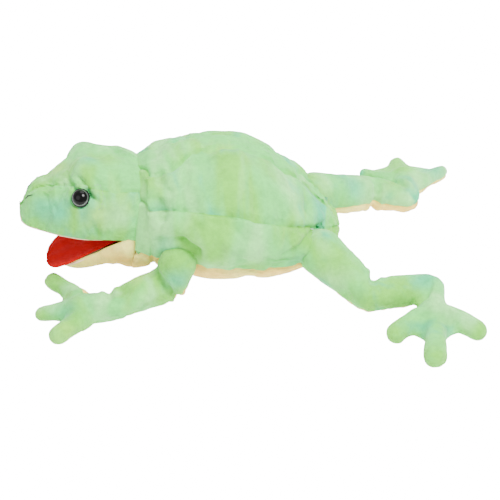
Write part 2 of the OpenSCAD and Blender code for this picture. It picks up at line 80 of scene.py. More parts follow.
def directionOf(azimuth, elevation):
    a, e = math.radians(azimuth), math.radians(elevation)
    return Vector((math.sin(a) * math.cos(e), -math.cos(a) * math.cos(e), math.sin(e)))


def makeCamera():
    back = directionOf(studio["azimuth"], studio["elevation"])
    side = Vector((math.cos(math.radians(studio["azimuth"])), math.sin(math.radians(studio["azimuth"])), 0))
    up = back.cross(side)
    camera = bpy.data.objects.new("camera", bpy.data.cameras.new("camera"))
    scene.collection.objects.link(camera)
    camera.data.lens = studio["lens"]
    camera.data.clip_start, camera.data.clip_end = 0.05, 20
    camera.location = back * studio["distance"] + side * studio["aim"][0] + up * studio["aim"][2]
    camera.rotation_mode = "QUATERNION"
    camera.rotation_quaternion = (-back).to_track_quat("-Z", "Y")
    scene.camera = camera


def makeLight(name, azimuth, elevation, distance, size, power):
    lamp = bpy.data.lights.new(name, "AREA")
    lamp.shape, lamp.size, lamp.energy = "DISK", size, power
    light = bpy.data.objects.new(name, lamp)
    scene.collection.objects.link(light)
    way = directionOf(azimuth, elevation)
    light.location = way * distance
    light.rotation_mode = "QUATERNION"
    light.rotation_quaternion = (-way).to_track_quat("-Z", "Y")


def makeStudio():
    makeCamera()
    makeLight("key softbox", 60, 66, 1.9, 0.9, studio["keyPower"])
    makeLight("fill softbox", -50, 38, 1.9, 1.5, studio["fillPower"])
    makeLight("top softbox", 170, 60, 1.8, 1.2, studio["rimPower"])
    world = bpy.data.worlds.new("studio")
    world.use_nodes = True
    world.node_tree.nodes["Background"].inputs["Color"].default_value = (1, 1, 1, 1)
    world.node_tree.nodes["Background"].inputs["Strength"].default_value = studio["sky"]
    scene.world = world
    half = studio["floorSize"] / 2
    mesh = bpy.data.meshes.new("floor")
    mesh.from_pydata([(-half, -half, 0), (half, -half, 0), (half, half, 0), (-half, half, 0)], [],
        [(0, 1, 2, 3)])
    floor = bpy.data.objects.new("floor", mesh)
    scene.collection.objects.link(floor)
    floor.location.z = cadLow.z - 0.0006
    paint = plainMaterial("pale floor", (0.9, 0.9, 0.9), roughness=0.7)
    # the floor looks as bright as a lit backdrop to the eye, but lights the puppet only softly
    seen = paint.node_tree.nodes.new("ShaderNodeLightPath")
    glow = addNode(paint.node_tree, "ShaderNodeMixRGB", {0: seen.outputs["Is Camera Ray"]})
    glow.inputs[1].default_value = (0.05, 0.05, 0.05, 1)
    glow.inputs[2].default_value = (1, 1, 1, 1)
    shader = paint.node_tree.nodes["Principled BSDF"]
    paint.node_tree.links.new(glow.outputs[0], shader.inputs["Emission Color"])
    shader.inputs["Emission Strength"].default_value = studio["floorGlow"]
    floor.data.materials.append(paint)


# ---- materials

def linear(rgb):
    return tuple((c / 12.92 if c <= 0.04045 else ((c + 0.055) / 1.055) ** 2.4)
        for c in (x / 255 for x in rgb)) + (1.0,)


def plainMaterial(name, colour, roughness=0.5):
    material = bpy.data.materials.new(name)
    material.use_nodes = True
    shader = material.node_tree.nodes["Principled BSDF"]
    shader.inputs["Base Color"].default_value = (*colour[:3], 1)
    shader.inputs["Roughness"].default_value = roughness
    return material


def newGroup(name, inputs, outputs):
    group = bpy.data.node_groups.new(name, "ShaderNodeTree")
    kinds = {"c": "NodeSocketColor", "v": "NodeSocketVector", "f": "NodeSocketFloat"}
    for label, kind in inputs:
        group.interface.new_socket(label, in_out="INPUT", socket_type=kinds[kind])
    for label, kind in outputs:
        group.interface.new_socket(label, in_out="OUTPUT", socket_type=kinds[kind])
    return group, group.nodes.new("NodeGroupInput"), group.nodes.new("NodeGroupOutput")


def addNode(tree, kind, links=None, **settings):
    node = tree.nodes.new(kind)
    for key, value in settings.items():
        if key in node.bl_rna.properties:
            setattr(node, key, value)
        else:
            node.inputs[key.replace("_", " ")].default_value = value
    for socket, source in (links or {}).items():
        tree.links.new(source, node.inputs[socket])
    return node


def mixColours(tree, factor, a, b):
    node = tree.nodes.new("ShaderNodeMix")
    node.data_type = "RGBA"
    for socket, source in ((0, factor), (6, a), (7, b)):
        if isinstance(source, (tuple, float, int)):
            node.inputs[socket].default_value = source
        else:
            tree.links.new(source, node.inputs[socket])
    return node.outputs[2]


def makeDyeGroup():
    # cloudy bands of four dyes, drawn out along one way of the cloth
    group, given, result = newGroup(
        "tie dye",
        [("Vector", "v"), ("Stretch", "v"), ("Offset", "v"), ("Ground", "c"), ("Second", "c"),
            ("Third", "c"), ("Fourth", "c")],
        [("Color", "c")])
    moved = addNode(group, "ShaderNodeVectorMath",
        {0: given.outputs["Vector"], 1: given.outputs["Stretch"]}, operation="MULTIPLY")
    placed = addNode(group, "ShaderNodeVectorMath", {0: moved.outputs[0], 1: given.outputs["Offset"]},
        operation="ADD")
    colour = given.outputs["Ground"]
    layers = (("Second", 26.0, 0.44, 0.62, 0.0), ("Third", 19.0, 0.52, 0.70, 7.3),
        ("Fourth", 34.0, 0.53, 0.72, 15.1))
    for label, scale, low, high, shift in layers:
        shifted = addNode(group, "ShaderNodeVectorMath", {0: placed.outputs[0]}, operation="ADD")
        shifted.inputs[1].default_value = (shift, shift * 0.7, -shift)
        noise = addNode(group, "ShaderNodeTexNoise", {"Vector": shifted.outputs[0]}, Scale=scale,
            Detail=3.0, Roughness=0.45, Distortion=0.4)
        ramp = addNode(group, "ShaderNodeMapRange", {"Value": noise.outputs[0]}, From_Min=low,
            From_Max=high, interpolation_type="SMOOTHSTEP")
        colour = mixColours(group, ramp.outputs[0], colour, given.outputs[label])
    group.links.new(colour, result.inputs["Color"])
    return group


def makePileGroup():
    # short pile: fine tufts, brushed streaks and slight soiling of the tone
    group, given, result = newGroup("velour pile", [("Vector", "v"), ("Color", "c")],
        [("Color", "c"), ("Height", "f"), ("Roughness", "f")])
    tufts = addNode(group, "ShaderNodeTexNoise", {"Vector": given.outputs["Vector"]}, Scale=1100.0,
        Detail=3.0, Roughness=0.7)
    brushed = addNode(group, "ShaderNodeTexNoise", {"Vector": given.outputs["Vector"]}, Scale=210.0,
        Detail=4.0, Roughness=0.6)
    clouds = addNode(group, "ShaderNodeTexNoise", {"Vector": given.outputs["Vector"]}, Scale=60.0,
        Detail=3.0, Roughness=0.55)
    total = addNode(group, "ShaderNodeMath", {0: tufts.outputs[0], 1: brushed.outputs[0]}, operation="ADD")
    third = addNode(group, "ShaderNodeMath", {0: total.outputs[0], 1: clouds.outputs[0]}, operation="ADD")
    shade = addNode(group, "ShaderNodeMapRange", {"Value": third.outputs[0]}, From_Min=1.15, From_Max=1.85,
        To_Min=0.78, To_Max=1.12)
    scaled = addNode(group, "ShaderNodeVectorMath", {0: given.outputs["Color"], "Scale": shade.outputs[0]},
        operation="SCALE")
    group.links.new(scaled.outputs[0], result.inputs["Color"])
    group.links.new(total.outputs[0], result.inputs["Height"])
    rough = addNode(group, "ShaderNodeMapRange", {"Value": brushed.outputs[0]}, To_Min=0.78, To_Max=0.98)
    group.links.new(rough.outputs[0], result.inputs["Roughness"])
    return group


def makeSpotGroup():
    # a ragged round patch of dye about a place
    group, given, result = newGroup("dye spot", [("Vector", "v"), ("Centre", "v"), ("Radius", "f")],
        [("Mask", "f")])
    noise = addNode(group, "ShaderNodeTexNoise", {"Vector": given.outputs["Vector"]}, Scale=45.0, Detail=2.0)
    gap = addNode(group, "ShaderNodeVectorMath", {0: given.outputs["Vector"], 1: given.outputs["Centre"]},
        operation="DISTANCE")
    ragged = addNode(group, "ShaderNodeMath", {0: noise.outputs[0]}, operation="MULTIPLY_ADD")
    ragged.inputs[1].default_value, ragged.inputs[2].default_value = 0.016, -0.008
    total = addNode(group, "ShaderNodeMath", {0: gap.outputs["Value"], 1: ragged.outputs[0]}, operation="ADD")
    mask = addNode(group, "ShaderNodeMapRange", {"Value": total.outputs[0],
        "From Max": given.outputs["Radius"]},
        From_Min=0.0, To_Min=1.0, To_Max=0.0, interpolation_type="SMOOTHSTEP")
    group.links.new(mask.outputs[0], result.inputs["Mask"])
    return group


dyes = {
    "mint": (100, 212, 98), "leaf": (112, 200, 62), "lime": (148, 212, 74), "teal": (40, 192, 130),
    "pale": (142, 226, 128), "deep": (62, 182, 66), "cream": (255, 238, 128), "peach": (255, 214, 104),
}


def velour(name, ground, second, third, fourth, stretch=(1.0, 0.45, 0.35), offset=(0, 0, 0), spots=()):
    material = bpy.data.materials.new(name)
    material.use_nodes = True
    tree = material.node_tree
    shader = tree.nodes["Principled BSDF"]
    place = tree.nodes.new("ShaderNodeTexCoord").outputs["Object"]
    dye = addNode(tree, "ShaderNodeGroup", node_tree=groups["dye"])
    tree.links.new(place, dye.inputs["Vector"])
    dye.inputs["Stretch"].default_value = stretch
    dye.inputs["Offset"].default_value = offset
    for label, key in (("Ground", ground), ("Second", second), ("Third", third), ("Fourth", fourth)):
        dye.inputs[label].default_value = linear(dyes[key])
    colour = dye.outputs["Color"]
    for centre, radius, key, strength in spots:
        spot = addNode(tree, "ShaderNodeGroup", node_tree=groups["spot"])
        tree.links.new(place, spot.inputs["Vector"])
        spot.inputs["Centre"].default_value = centre
        spot.inputs["Radius"].default_value = radius
        weight = addNode(tree, "ShaderNodeMath", {0: spot.outputs["Mask"]}, operation="MULTIPLY")
        weight.inputs[1].default_value = strength
        colour = mixColours(tree, weight.outputs[0], colour, linear(dyes[key]))
    pile = addNode(tree, "ShaderNodeGroup", node_tree=groups["pile"])
    tree.links.new(place, pile.inputs["Vector"])
    tree.links.new(colour, pile.inputs["Color"])
    tree.links.new(pile.outputs["Color"], shader.inputs["Base Color"])
    tree.links.new(pile.outputs["Roughness"], shader.inputs["Roughness"])
    bump = addNode(tree, "ShaderNodeBump", {"Height": pile.outputs["Height"]}, Strength=0.9, Distance=0.0010)
    tree.links.new(bump.outputs[0], shader.inputs["Normal"])
    shader.inputs["Sheen Weight"].default_value = 0.2
    shader.inputs["Sheen Roughness"].default_value = 0.45
    shader.inputs["Specular IOR Level"].default_value = 0.2
    return material


def clothMaterial(name, colour, threadScale, bump, roughness=0.85, sheen=0.2):
    # plain cloth with a fine crossing weave or felted surface
    material = plainMaterial(name, linear(colour), roughness)
    tree = material.node_tree
    shader = tree.nodes["Principled BSDF"]
    place = tree.nodes.new("ShaderNodeTexCoord").outputs["Object"]
    fibres = addNode(tree, "ShaderNodeTexNoise", {"Vector": place}, Scale=threadScale, Detail=4.0,
        Roughness=0.65)
    broad = addNode(tree, "ShaderNodeTexNoise", {"Vector": place}, Scale=70.0, Detail=2.0)
    total = addNode(tree, "ShaderNodeMath", {0: fibres.outputs[0], 1: broad.outputs[0]}, operation="ADD")
    shade = addNode(tree, "ShaderNodeMapRange", {"Value": total.outputs[0]}, From_Min=0.7, From_Max=1.3,
        To_Min=0.86, To_Max=1.06)
    scaled = addNode(tree, "ShaderNodeVectorMath", {"Scale": shade.outputs[0]}, operation="SCALE")
    scaled.inputs[0].default_value = linear(colour)[:3]
    tree.links.new(scaled.outputs[0], shader.inputs["Base Color"])
    height = addNode(tree, "ShaderNodeBump", {"Height": fibres.outputs[0]}, Strength=bump, Distance=0.0005)
    tree.links.new(height.outputs[0], shader.inputs["Normal"])
    shader.inputs["Sheen Weight"].default_value = sheen
    return material


groups = {"dye": makeDyeGroup(), "pile": makePileGroup(), "spot": makeSpotGroup()}
makeStudio()
print("studio and shader groups made")


# ---- shapes: smooth rows, rounded sections and grids of points

def turned(roll, pitch, turn):
    r, p, t = (math.radians(x) for x in (roll, pitch, turn))
    return np.array(Matrix.Rotation(t, 3, "Z") @ Matrix.Rotation(p, 3, "Y") @ Matrix.Rotation(r, 3, "X"))


def smoothRows(rows, count):
    # count rows spread evenly over a smooth curve through the given rows, by their first number
    rows = np.array(rows, float)
    last = len(rows) - 1
    places = np.linspace(0, last, (count - 1) * 8 + 1)
    i = np.minimum(places.astype(int), last - 1)
    t = (places - i)[:, None]
    p0, p1, p2, p3 = rows[np.maximum(i - 1, 0)], rows[i], rows[i + 1], rows[np.minimum(i + 2, last)]
    fine = 0.5 * (2 * p1 + (p2 - p0) * t + (2 * p0 - 5 * p1 + 4 * p2 - p3) * t ** 2
        + (3 * p1 - p0 - 3 * p2 + p3) * t ** 3)
    way = np.r_[0, np.cumsum(np.linalg.norm(np.diff(fine[:, :3], axis=0), axis=1))]
    even = np.linspace(0, way[-1], count)
    return np.stack([np.interp(even, way, fine[:, k]) for k in range(rows.shape[1])], 1)


def signedPower(values, power):
    return np.sign(values) * np.abs(values) ** power


def section(half, middle, rise, fall, degrees, upper, lower):
    t = np.radians(degrees)
    power = np.where(np.sin(t) < 0, 2 / lower, 2 / upper)
    up = np.sin(t)
    return half * signedPower(np.cos(t), power), middle + np.where(up < 0, fall, rise) * signedPower(up,
        power)


def refined(grid, factor, ring):
    # more points on smooth curves both ways through a grid; ring closes it the second way
    def along(points, axis, closed):
        points = np.moveaxis(points, axis, 0)
        if closed:
            before, after, third = np.roll(points, 1, 0), np.roll(points, -1, 0), np.roll(points, -2, 0)
            starts = points
        else:
            starts, after = points[:-1], points[1:]
            before = np.concatenate([points[:1], points[:-2]])
            third = np.concatenate([points[2:], points[-1:]])
        parts = []
        for k in range(factor):
            t = k / factor
            parts.append(0.5 * (2 * starts + (after - before) * t
                + (2 * before - 5 * starts + 4 * after - third) * t * t
                + (3 * starts - before - 3 * after + third) * t ** 3))
        fine = np.stack(parts, 1).reshape((-1,) + points.shape[1:])
        if not closed:
            fine = np.concatenate([fine, points[-1:]])
        return np.moveaxis(fine, 0, axis)
    return along(along(grid, 0, False), 1, ring)


def gridNormals(grid, ring):
    down = np.gradient(grid, axis=0)
    if ring:
        across = (np.roll(grid, -1, 1) - np.roll(grid, 1, 1)) / 2
    else:
        across = np.gradient(grid, axis=1)
    normals = np.cross(across, down)
    size = np.linalg.norm(normals, axis=2, keepdims=True)
    return normals / np.maximum(size, 1e-12)


def flattened(grid, ring):
    # the points of a grid in one row, and their normals
    return grid.reshape(-1, 3), gridNormals(grid, ring).reshape(-1, 3)


def gridFaces(rows, columns, ring):
    index = np.arange(rows * columns).reshape(rows, columns)
    nextOne = np.roll(index, -1, 1) if ring else index[:, 1:]
    here = index if ring else index[:, :-1]
    return np.stack([here[:-1], nextOne[:-1], nextOne[1:], here[1:]], -1).reshape(-1, 4)


def newPiece(name, points, faces, material, smooth=True):
    mesh = bpy.data.meshes.new(name)
    mesh.from_pydata([tuple(p) for p in np.asarray(points)], [], [tuple(int(i) for i in f) for f in faces])
    mesh.validate()
    for polygon in mesh.polygons:
        polygon.use_smooth = smooth
    piece = bpy.data.objects.new(name, mesh)
    scene.collection.objects.link(piece)
    piece.data.materials.append(material)
    return piece


def withModifier(piece, kind, **settings):
    modifier = piece.modifiers.new(kind.lower(), kind)
    for key, value in settings.items():
        setattr(modifier, key, value)
    seen = piece.evaluated_get(bpy.context.evaluated_depsgraph_get())
    mesh = bpy.data.meshes.new_from_object(seen)
    piece.modifiers.clear()
    old = piece.data
    piece.data = mesh
    bpy.data.meshes.remove(old)


def puffed(points, faces, held, pressure, slack, cap, frames=14):
    # lets air into a closed skin as cloth; held is how firmly each point stays
    skin = newPiece("trial skin", points, faces, None)
    group = skin.vertex_groups.new(name="held")
    for index in np.nonzero(held > 0)[0]:
        group.add([int(index)], float(held[index]), "REPLACE")
    cloth = skin.modifiers.new("cloth", "CLOTH")
    settings = cloth.settings
    settings.quality = 5
    settings.mass = 0.25
    settings.tension_stiffness = settings.compression_stiffness = 18
    settings.shear_stiffness = 8
    settings.bending_stiffness = 0.4
    settings.shrink_min = -slack
    settings.use_pressure = True
    settings.uniform_pressure_force = pressure
    settings.effector_weights.gravity = 0
    settings.vertex_group_mass = "held"
    for number in range(1, frames + 1):
        scene.frame_set(number)
    seen = skin.evaluated_get(bpy.context.evaluated_depsgraph_get())
    moved = np.zeros(len(points) * 3)
    seen.data.vertices.foreach_get("co", moved)
    moved = moved.reshape(-1, 3) - points
    length = np.linalg.norm(moved, axis=1, keepdims=True)
    bpy.data.objects.remove(skin)
    scene.frame_set(1)
    return points + moved * np.minimum(1, cap / np.maximum(length, 1e-9))


def puffedGrid(grid, ring, held, pressure, slack, cap):
    # a grid's two ends are closed by a fan each while it is blown up
    rows, columns = grid.shape[:2]
    points = np.concatenate([grid.reshape(-1, 3), grid[0].mean(0)[None], grid[-1].mean(0)[None]])
    faces = [tuple(f) for f in gridFaces(rows, columns, ring)]
    count = rows * columns
    for j in range(columns if ring else columns - 1):
        k = (j + 1) % columns
        faces.append((k, j, count))
        faces.append((count - columns + j, count - columns + k, count + 1))
    if not ring:  # the open side is closed too
        for i in range(rows - 1):
            a, b = i * columns, (i + 1) * columns
            faces.append((a, b, b + columns - 1, a + columns - 1))
        faces.append((0, columns - 1, count))
        faces.append((count - 1, count - columns, count + 1))
    stay = np.concatenate([held.reshape(-1), [1, 1]])
    return puffed(points, faces, stay, pressure, slack, cap)[:count].reshape(grid.shape)


def distanceTo(points, path):
    # distance of each point from a path of straight stretches, and how far along it the nearest place is
    best, where = np.full(len(points), 1e9), np.zeros(len(points))
    total = 0.0
    for a, b in zip(path[:-1], path[1:]):
        way = b - a
        length = np.linalg.norm(way)
        t = np.clip((points - a) @ way / max(length ** 2, 1e-12), 0, 1)
        gap = np.linalg.norm(points - a - t[:, None] * way, axis=1)
        nearer = gap < best
        best[nearer], where[nearer] = gap[nearer], total + t[nearer] * length
        total += length
    return best, where / max(total, 1e-9)


def creased(points, normals, path, depth, width, ridge=0.0, fade=0.25):
    # a fold pressed in along a path, with a soft ridge beside it, dying out towards its ends
    gap, along = distanceTo(points, path)
    ends = np.clip(np.minimum(along, 1 - along) / max(fade, 1e-6), 0, 1) ** 0.6 if fade else 1.0
    dip = np.exp(-(gap / width) ** 2)
    swell = np.exp(-((gap - 2.4 * width) / (1.3 * width)) ** 2)
    return points + normals * ((ridge * swell - depth * dip) * ends)[:, None]


def bumped(points, normals, centre, height, radius):
    gap = np.linalg.norm(points - centre, axis=1)
    return points + normals * (height * np.exp(-(gap / radius) ** 2))[:, None]


def wavy(points, scale, seed):
    # smooth cloudy value from -1 to 1 made of a few crossing waves
    random = np.random.default_rng(seed)
    value = np.zeros(len(points))
    for k in range(7):
        way = random.normal(size=3)
        way *= scale * random.uniform(0.6, 1.5) / np.linalg.norm(way)
        value += np.sin(points @ way + random.uniform(0, 6.28))
    return value / 4


# ---- torso

torso = {
    "front": -0.046, "length": 0.194, "halfWidth": 0.082, "height": 0.134,
    # place along it, half width, bottom and top as shares
    "rows": [
        [0.00, 0.775, 0.11, 0.94], [0.13, 0.88, 0.05, 0.985], [0.30, 1.00, -0.02, 1.00],
        [0.47, 0.99, -0.03, 0.97],
        [0.61, 0.92, -0.03, 0.87], [0.76, 0.77, 0.02, 0.69], [0.88, 0.55, 0.09, 0.51],
        [0.96, 0.31, 0.17, 0.38],
        [1.00, 0.10, 0.24, 0.29],
    ],
    "stations": 46, "between": [16, 8, 10, 8, 16, 28],
    "upper": 2.15, "lower": 1.8,
    # the seams' angles at these places along the torso: upper seam, side seam and belly seam
    "seamPlaces": [0.0, 0.13, 0.23, 0.33, 0.55, 0.75, 0.85, 1.0],
    "upperSeam": [107, 105, 90, 86, 83, 84, 84, 90],
    "sideSeam": [143, 141, 140, 141, 145, 142, 138, 134],
    "farSeam": [72, 71, 68, 66, 64, 64, 64, 70],
    "bellySeam": [201, 197, 196, 197, 199, 198, 199, 203],
}

headPose = turned(-14, 8, 3)


def torsoSection(row, degrees):
    low, high = row[2] * torso["height"], row[3] * torso["height"]
    middle, half = (low + high) / 2, (high - low) / 2
    y, z = section(row[1] * torso["halfWidth"], middle, half, half, degrees, torso["upper"], torso["lower"])
    return np.stack([np.full(len(y), torso["front"] + row[0] * torso["length"]), y, np.maximum(z, 0.0012)], 1)


def torsoPoint(share, angle):
    rows = np.array(smoothRows(torso["rows"], 200))
    row = np.array([np.interp(share, rows[:, 0], rows[:, k]) for k in range(4)])
    return torsoSection(row, np.array([float(angle)]))[0]


def inHead(points):
    return neckPoint + np.asarray(points) @ headPose.T


def torsoAngles(share):
    # the columns' angles at one place along the torso, so that the seams follow their lines
    upper, side, belly, far = (np.interp(share, torso["seamPlaces"], torso[k])
                               for k in ("upperSeam", "sideSeam", "bellySeam", "farSeam"))
    marks = [180 - belly, 180 - side, far, upper, side, belly, 540 - belly]
    parts = [np.linspace(a, b, n, endpoint=False) for a, b, n in zip(marks[:-1], marks[1:], torso["between"])]
    return np.concatenate(parts)


def seamColumns(between):
    return np.r_[0, np.cumsum(between)]


def frontRings(first, angles):
    # from the torso's front edge to the crease at the neck, and tucked in behind the head's rim
    rings = []
    for place, radius, mix in ((4.5, 47.0, 1.0), (1.5, 53.2, 1.0), (-1.2, 55.6, 1.0), (0.4, 58.8, 0.93),
            (4.5, 61.0, 0.62), (9.0, 62.0, 0.3)):
        t = np.radians(angles)
        ring = inHead(np.stack([np.full(len(t), place * mm), radius * mm * np.cos(t),
            radius * mm * np.sin(t)], 1))
        ring[:, 2] = np.maximum(ring[:, 2], 0.002)
        swell = 1 + 0.05 * (1 - mix)
        middle = first.mean(0)
        rings.append(ring * mix + ((first - middle) * swell + middle) * (1 - mix))
    return rings


def makeTorsoGrid():
    rows = smoothRows(torso["rows"], torso["stations"])
    body = [torsoSection(row, torsoAngles(row[0])) for row in rows]
    front = frontRings(body[0], torsoAngles(0))
    shares = np.r_[np.full(len(front), 0.0), rows[:, 0]]
    return np.array(front + body), shares


def torsoPath(pairs):
    return np.array([torsoPoint(a, b) for a, b in pairs])


torsoFolds = {
    # place along the torso and angle round it; depth, width and ridge in metres
    "shoulderLeft": ([(0.02, 176), (0.06, 168), (0.12, 165), (0.18, 166), (0.235, 172), (0.262, 181)],
        0.0050, 0.0040, 0.0014),
    "shoulderRight": ([(0.02, 4), (0.10, 12), (0.20, 12), (0.26, 2)], 0.006, 0.0045, 0.002),
    "hipLeft": ([(0.955, 120), (0.91, 129), (0.863, 138), (0.80, 152), (0.76, 166), (0.735, 182)], 0.0055,
        0.0045, 0.0015),
    "hipRight": ([(0.955, 60), (0.90, 48), (0.85, 40), (0.79, 28), (0.74, 8)], 0.0075, 0.005, 0.0025),
    "bellyPull": ([(0.18, 178), (0.26, 170), (0.36, 168)], 0.0024, 0.0050, 0.0012),
    "collarOne": ([(0.02, 96), (0.05, 112), (0.10, 124), (0.16, 126)], 0.0036, 0.0040, 0.0016),
    "collarTwo": ([(0.015, 128), (0.045, 136), (0.055, 150), (0.03, 166)], 0.0036, 0.0036, 0.0016),
    "hipFan": ([(0.83, 128), (0.79, 140), (0.74, 150)], 0.0030, 0.0036, 0.0014),
    "hipFanLow": ([(0.80, 158), (0.74, 168), (0.69, 172)], 0.0030, 0.0036, 0.0014),
    "napeLeft": ([(0.02, 112), (0.06, 128), (0.08, 146), (0.05, 160)], 0.0035, 0.0050, 0.0014),
    "napeTop": ([(0.03, 60), (0.055, 80), (0.045, 100)], 0.0030, 0.0045, 0.0016),
    "backDip": ([(0.27, 70), (0.31, 84), (0.30, 100)], 0.0026, 0.0075, 0.0014),
    "rumpOne": ([(0.66, 70), (0.70, 88), (0.72, 104)], 0.0022, 0.0065, 0.0012),
    "rumpTwo": ([(0.79, 96), (0.80, 112), (0.78, 128)], 0.0022, 0.0050, 0.0012),
    "flankOne": ([(0.34, 188), (0.36, 172), (0.33, 158)], 0.0030, 0.0060, 0.0015),
    "flankTwo": ([(0.56, 190), (0.57, 172), (0.60, 160)], 0.0028, 0.0060, 0.0014),
    "sidePull": ([(0.40, 150), (0.48, 158), (0.56, 156)], 0.0020, 0.0060, 0.0010),
}
seamShape = {"depth": 0.0022, "width": 0.0015, "ridge": 0.0008}


def seamed(grid, columns, puckerSeed):
    # every seam pulls the cloth in a little, more at some stitches than at others
    points, normals = flattened(grid, True)
    for number, column in enumerate(columns):
        gap, along = distanceTo(points, grid[:, column])
        pull = 1 + 0.35 * wavy(points, 420, puckerSeed + number)
        dip = np.exp(-(gap / seamShape["width"]) ** 2)
        wide = np.exp(-(gap / 0.006) ** 2)
        swell = np.exp(-((gap - 0.0040) / 0.0022) ** 2)
        points = points + normals * (seamShape["ridge"] * swell
            - (seamShape["depth"] * dip + 0.0011 * wide) * pull)[:, None]
    return points.reshape(grid.shape)


def puckered(grid, ring, height, scale, seed):
    normals = gridNormals(grid, ring).reshape(-1, 3)
    points = grid.reshape(-1, 3)
    fine = wavy(points, scale, seed) * wavy(points, scale * 0.37, seed + 9)
    return (points + normals * (height * fine)[:, None]).reshape(grid.shape)


def keptOverFloor(grid, low):
    grid = grid.copy()
    grid[..., 2] = np.maximum(grid[..., 2], low)
    return grid


def torsoSkin():
    grid = makeTorsoGrid()[0]
    columns = seamColumns(torso["between"])[:-1]
    held = np.zeros(grid.shape[:2])
    held[:, columns] = 0.55
    held[:7] = 1
    held[-2:] = 1
    held[grid[..., 2] < 0.003] = 1
    grid = puffedGrid(grid, True, held, 2.2, 0.035, 0.006)
    grid = refined(grid, 2, True)
    columns = columns * 2
    for path, depth, width, ridge in torsoFolds.values():
        points, normals = flattened(grid, True)
        grid = creased(points, normals, torsoPath(path), depth, width, ridge).reshape(grid.shape)
    grid = seamed(grid, columns, 40)
    grid = puckered(grid, True, 0.0012, 150, 5)
    return keptOverFloor(grid, 0.0012), columns


def gridPanel(name, grid, first, last, material, replaces):
    # the stretch of a ring grid from one column to another, both included
    count = grid.shape[1]
    part = grid[:, [c % count for c in range(first, last + 1)]]
    points, faces = part.reshape(-1, 3), gridFaces(*part.shape[:2], False)
    piece = newPiece(name, points, faces, material)
    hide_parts(*replaces)
    return piece


def sharedNormals(piece, points, normals):
    # shading of the whole skin is kept at the cut edges of its panels
    mesh = piece.data
    table = {tuple(np.round(p, 7)): n for p, n in zip(points, normals)}
    chosen = [table.get(tuple(np.round(np.array(v.co), 7)), tuple(v.normal)) for v in mesh.vertices]
    mesh.normals_split_custom_set_from_vertices([tuple(n) for n in chosen])


def openHole(piece, centre, radius):
    # a round opening cut in a panel that lies flat
    mesh = piece.data
    bm = bmesh.new()
    bm.from_mesh(mesh)
    doomed = [f for f in bm.faces if (f.calc_center_median().xy - centre.xy).length < radius
        and f.calc_center_median().z < 0.02]
    rim = set()
    for face in doomed:
        for edge in face.edges:
            if any(other not in doomed for other in edge.link_faces):
                rim.update(edge.verts)
    bmesh.ops.delete(bm, geom=doomed, context="FACES")
    for vertex in rim:
        if vertex.is_valid:
            flat = vertex.co.xy - centre.xy
            flat = flat.normalized() * radius
            vertex.co.x, vertex.co.y = centre.x + flat.x, centre.y + flat.y
    bm.to_mesh(mesh)
    bm.free()


def blendToHead(piece):
    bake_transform(piece)


print("helpers ready")
torsoGrid, torsoColumns = torsoSkin()
print("torso skin shaped", torsoGrid.shape)

spotsBack = [((0.002, -0.010, 0.128), 0.020, "deep", 0.6), ((0.03, 0.0, 0.13), 0.018, "lime", 0.8),
             ((0.062, -0.004, 0.128), 0.024, "pale", 0.7), ((0.10, 0.0, 0.10), 0.020, "leaf", 0.8)]
spotsSide = [((-0.035, -0.055, 0.10), 0.024, "teal", 0.85), ((0.104, -0.060, 0.058), 0.026, "teal", 0.9),
             ((-0.02, -0.066, 0.10), 0.018, "deep", 0.6), ((0.035, -0.078, 0.08), 0.024, "pale", 0.8)]
spotsFlank = [((-0.030, -0.070, 0.070), 0.022, "teal", 0.7), ((0.012, -0.080, 0.055), 0.020, "pale", 0.8),
              ((0.100, -0.066, 0.045), 0.022, "teal", 0.6), ((0.055, -0.080, 0.050), 0.022, "leaf", 0.7)]
torsoCloth = {
    "back_panel": velour("velour back", "mint", "leaf", "lime", "pale", (1.0, 0.35, 0.3), (0.1, 0.2, 0),
        spotsBack),
    "upper": velour("velour side", "mint", "leaf", "pale", "teal", (1.0, 0.35, 0.3), (0.4, 0.1, 0.3),
        spotsSide),
    "flank": velour("velour flank", "mint", "leaf", "pale", "lime", (1.0, 0.35, 0.3), (0.7, 0.5, 0.2),
        spotsFlank),
    "belly": velour("velour belly", "cream", "peach", "cream", "peach", (0.6, 0.6, 0.6), (0.2, 0.3, 0.6)),
}
torsoPanels = {}
torsoCuts = {
    "right_flank_panel": (0, 1, "flank"), "right_upper_panel": (1, 2, "upper"),
    "back_panel": (2, 3, "back_panel"),
    "left_upper_panel": (3, 4, "upper"), "left_flank_panel": (4, 5, "flank"), "belly_panel": (5, 6, "belly"),
}
torsoMarks = list(torsoColumns) + [torsoGrid.shape[1]]
torsoNormals = gridNormals(torsoGrid, True).reshape(-1, 3)
for name, (a, b, cloth) in torsoCuts.items():
    panel = gridPanel(name.replace("panel", "cover"), torsoGrid, torsoMarks[a], torsoMarks[b],
        torsoCloth[cloth], [name])
    sharedNormals(panel, torsoGrid.reshape(-1, 3), torsoNormals)
    torsoPanels[name] = panel
openHole(torsoPanels["belly_panel"], Vector((0.060, 0, 0)), 0.034)
for name, panel in torsoPanels.items():
    blendToHead(panel)
print("torso covers made")


# ---- head

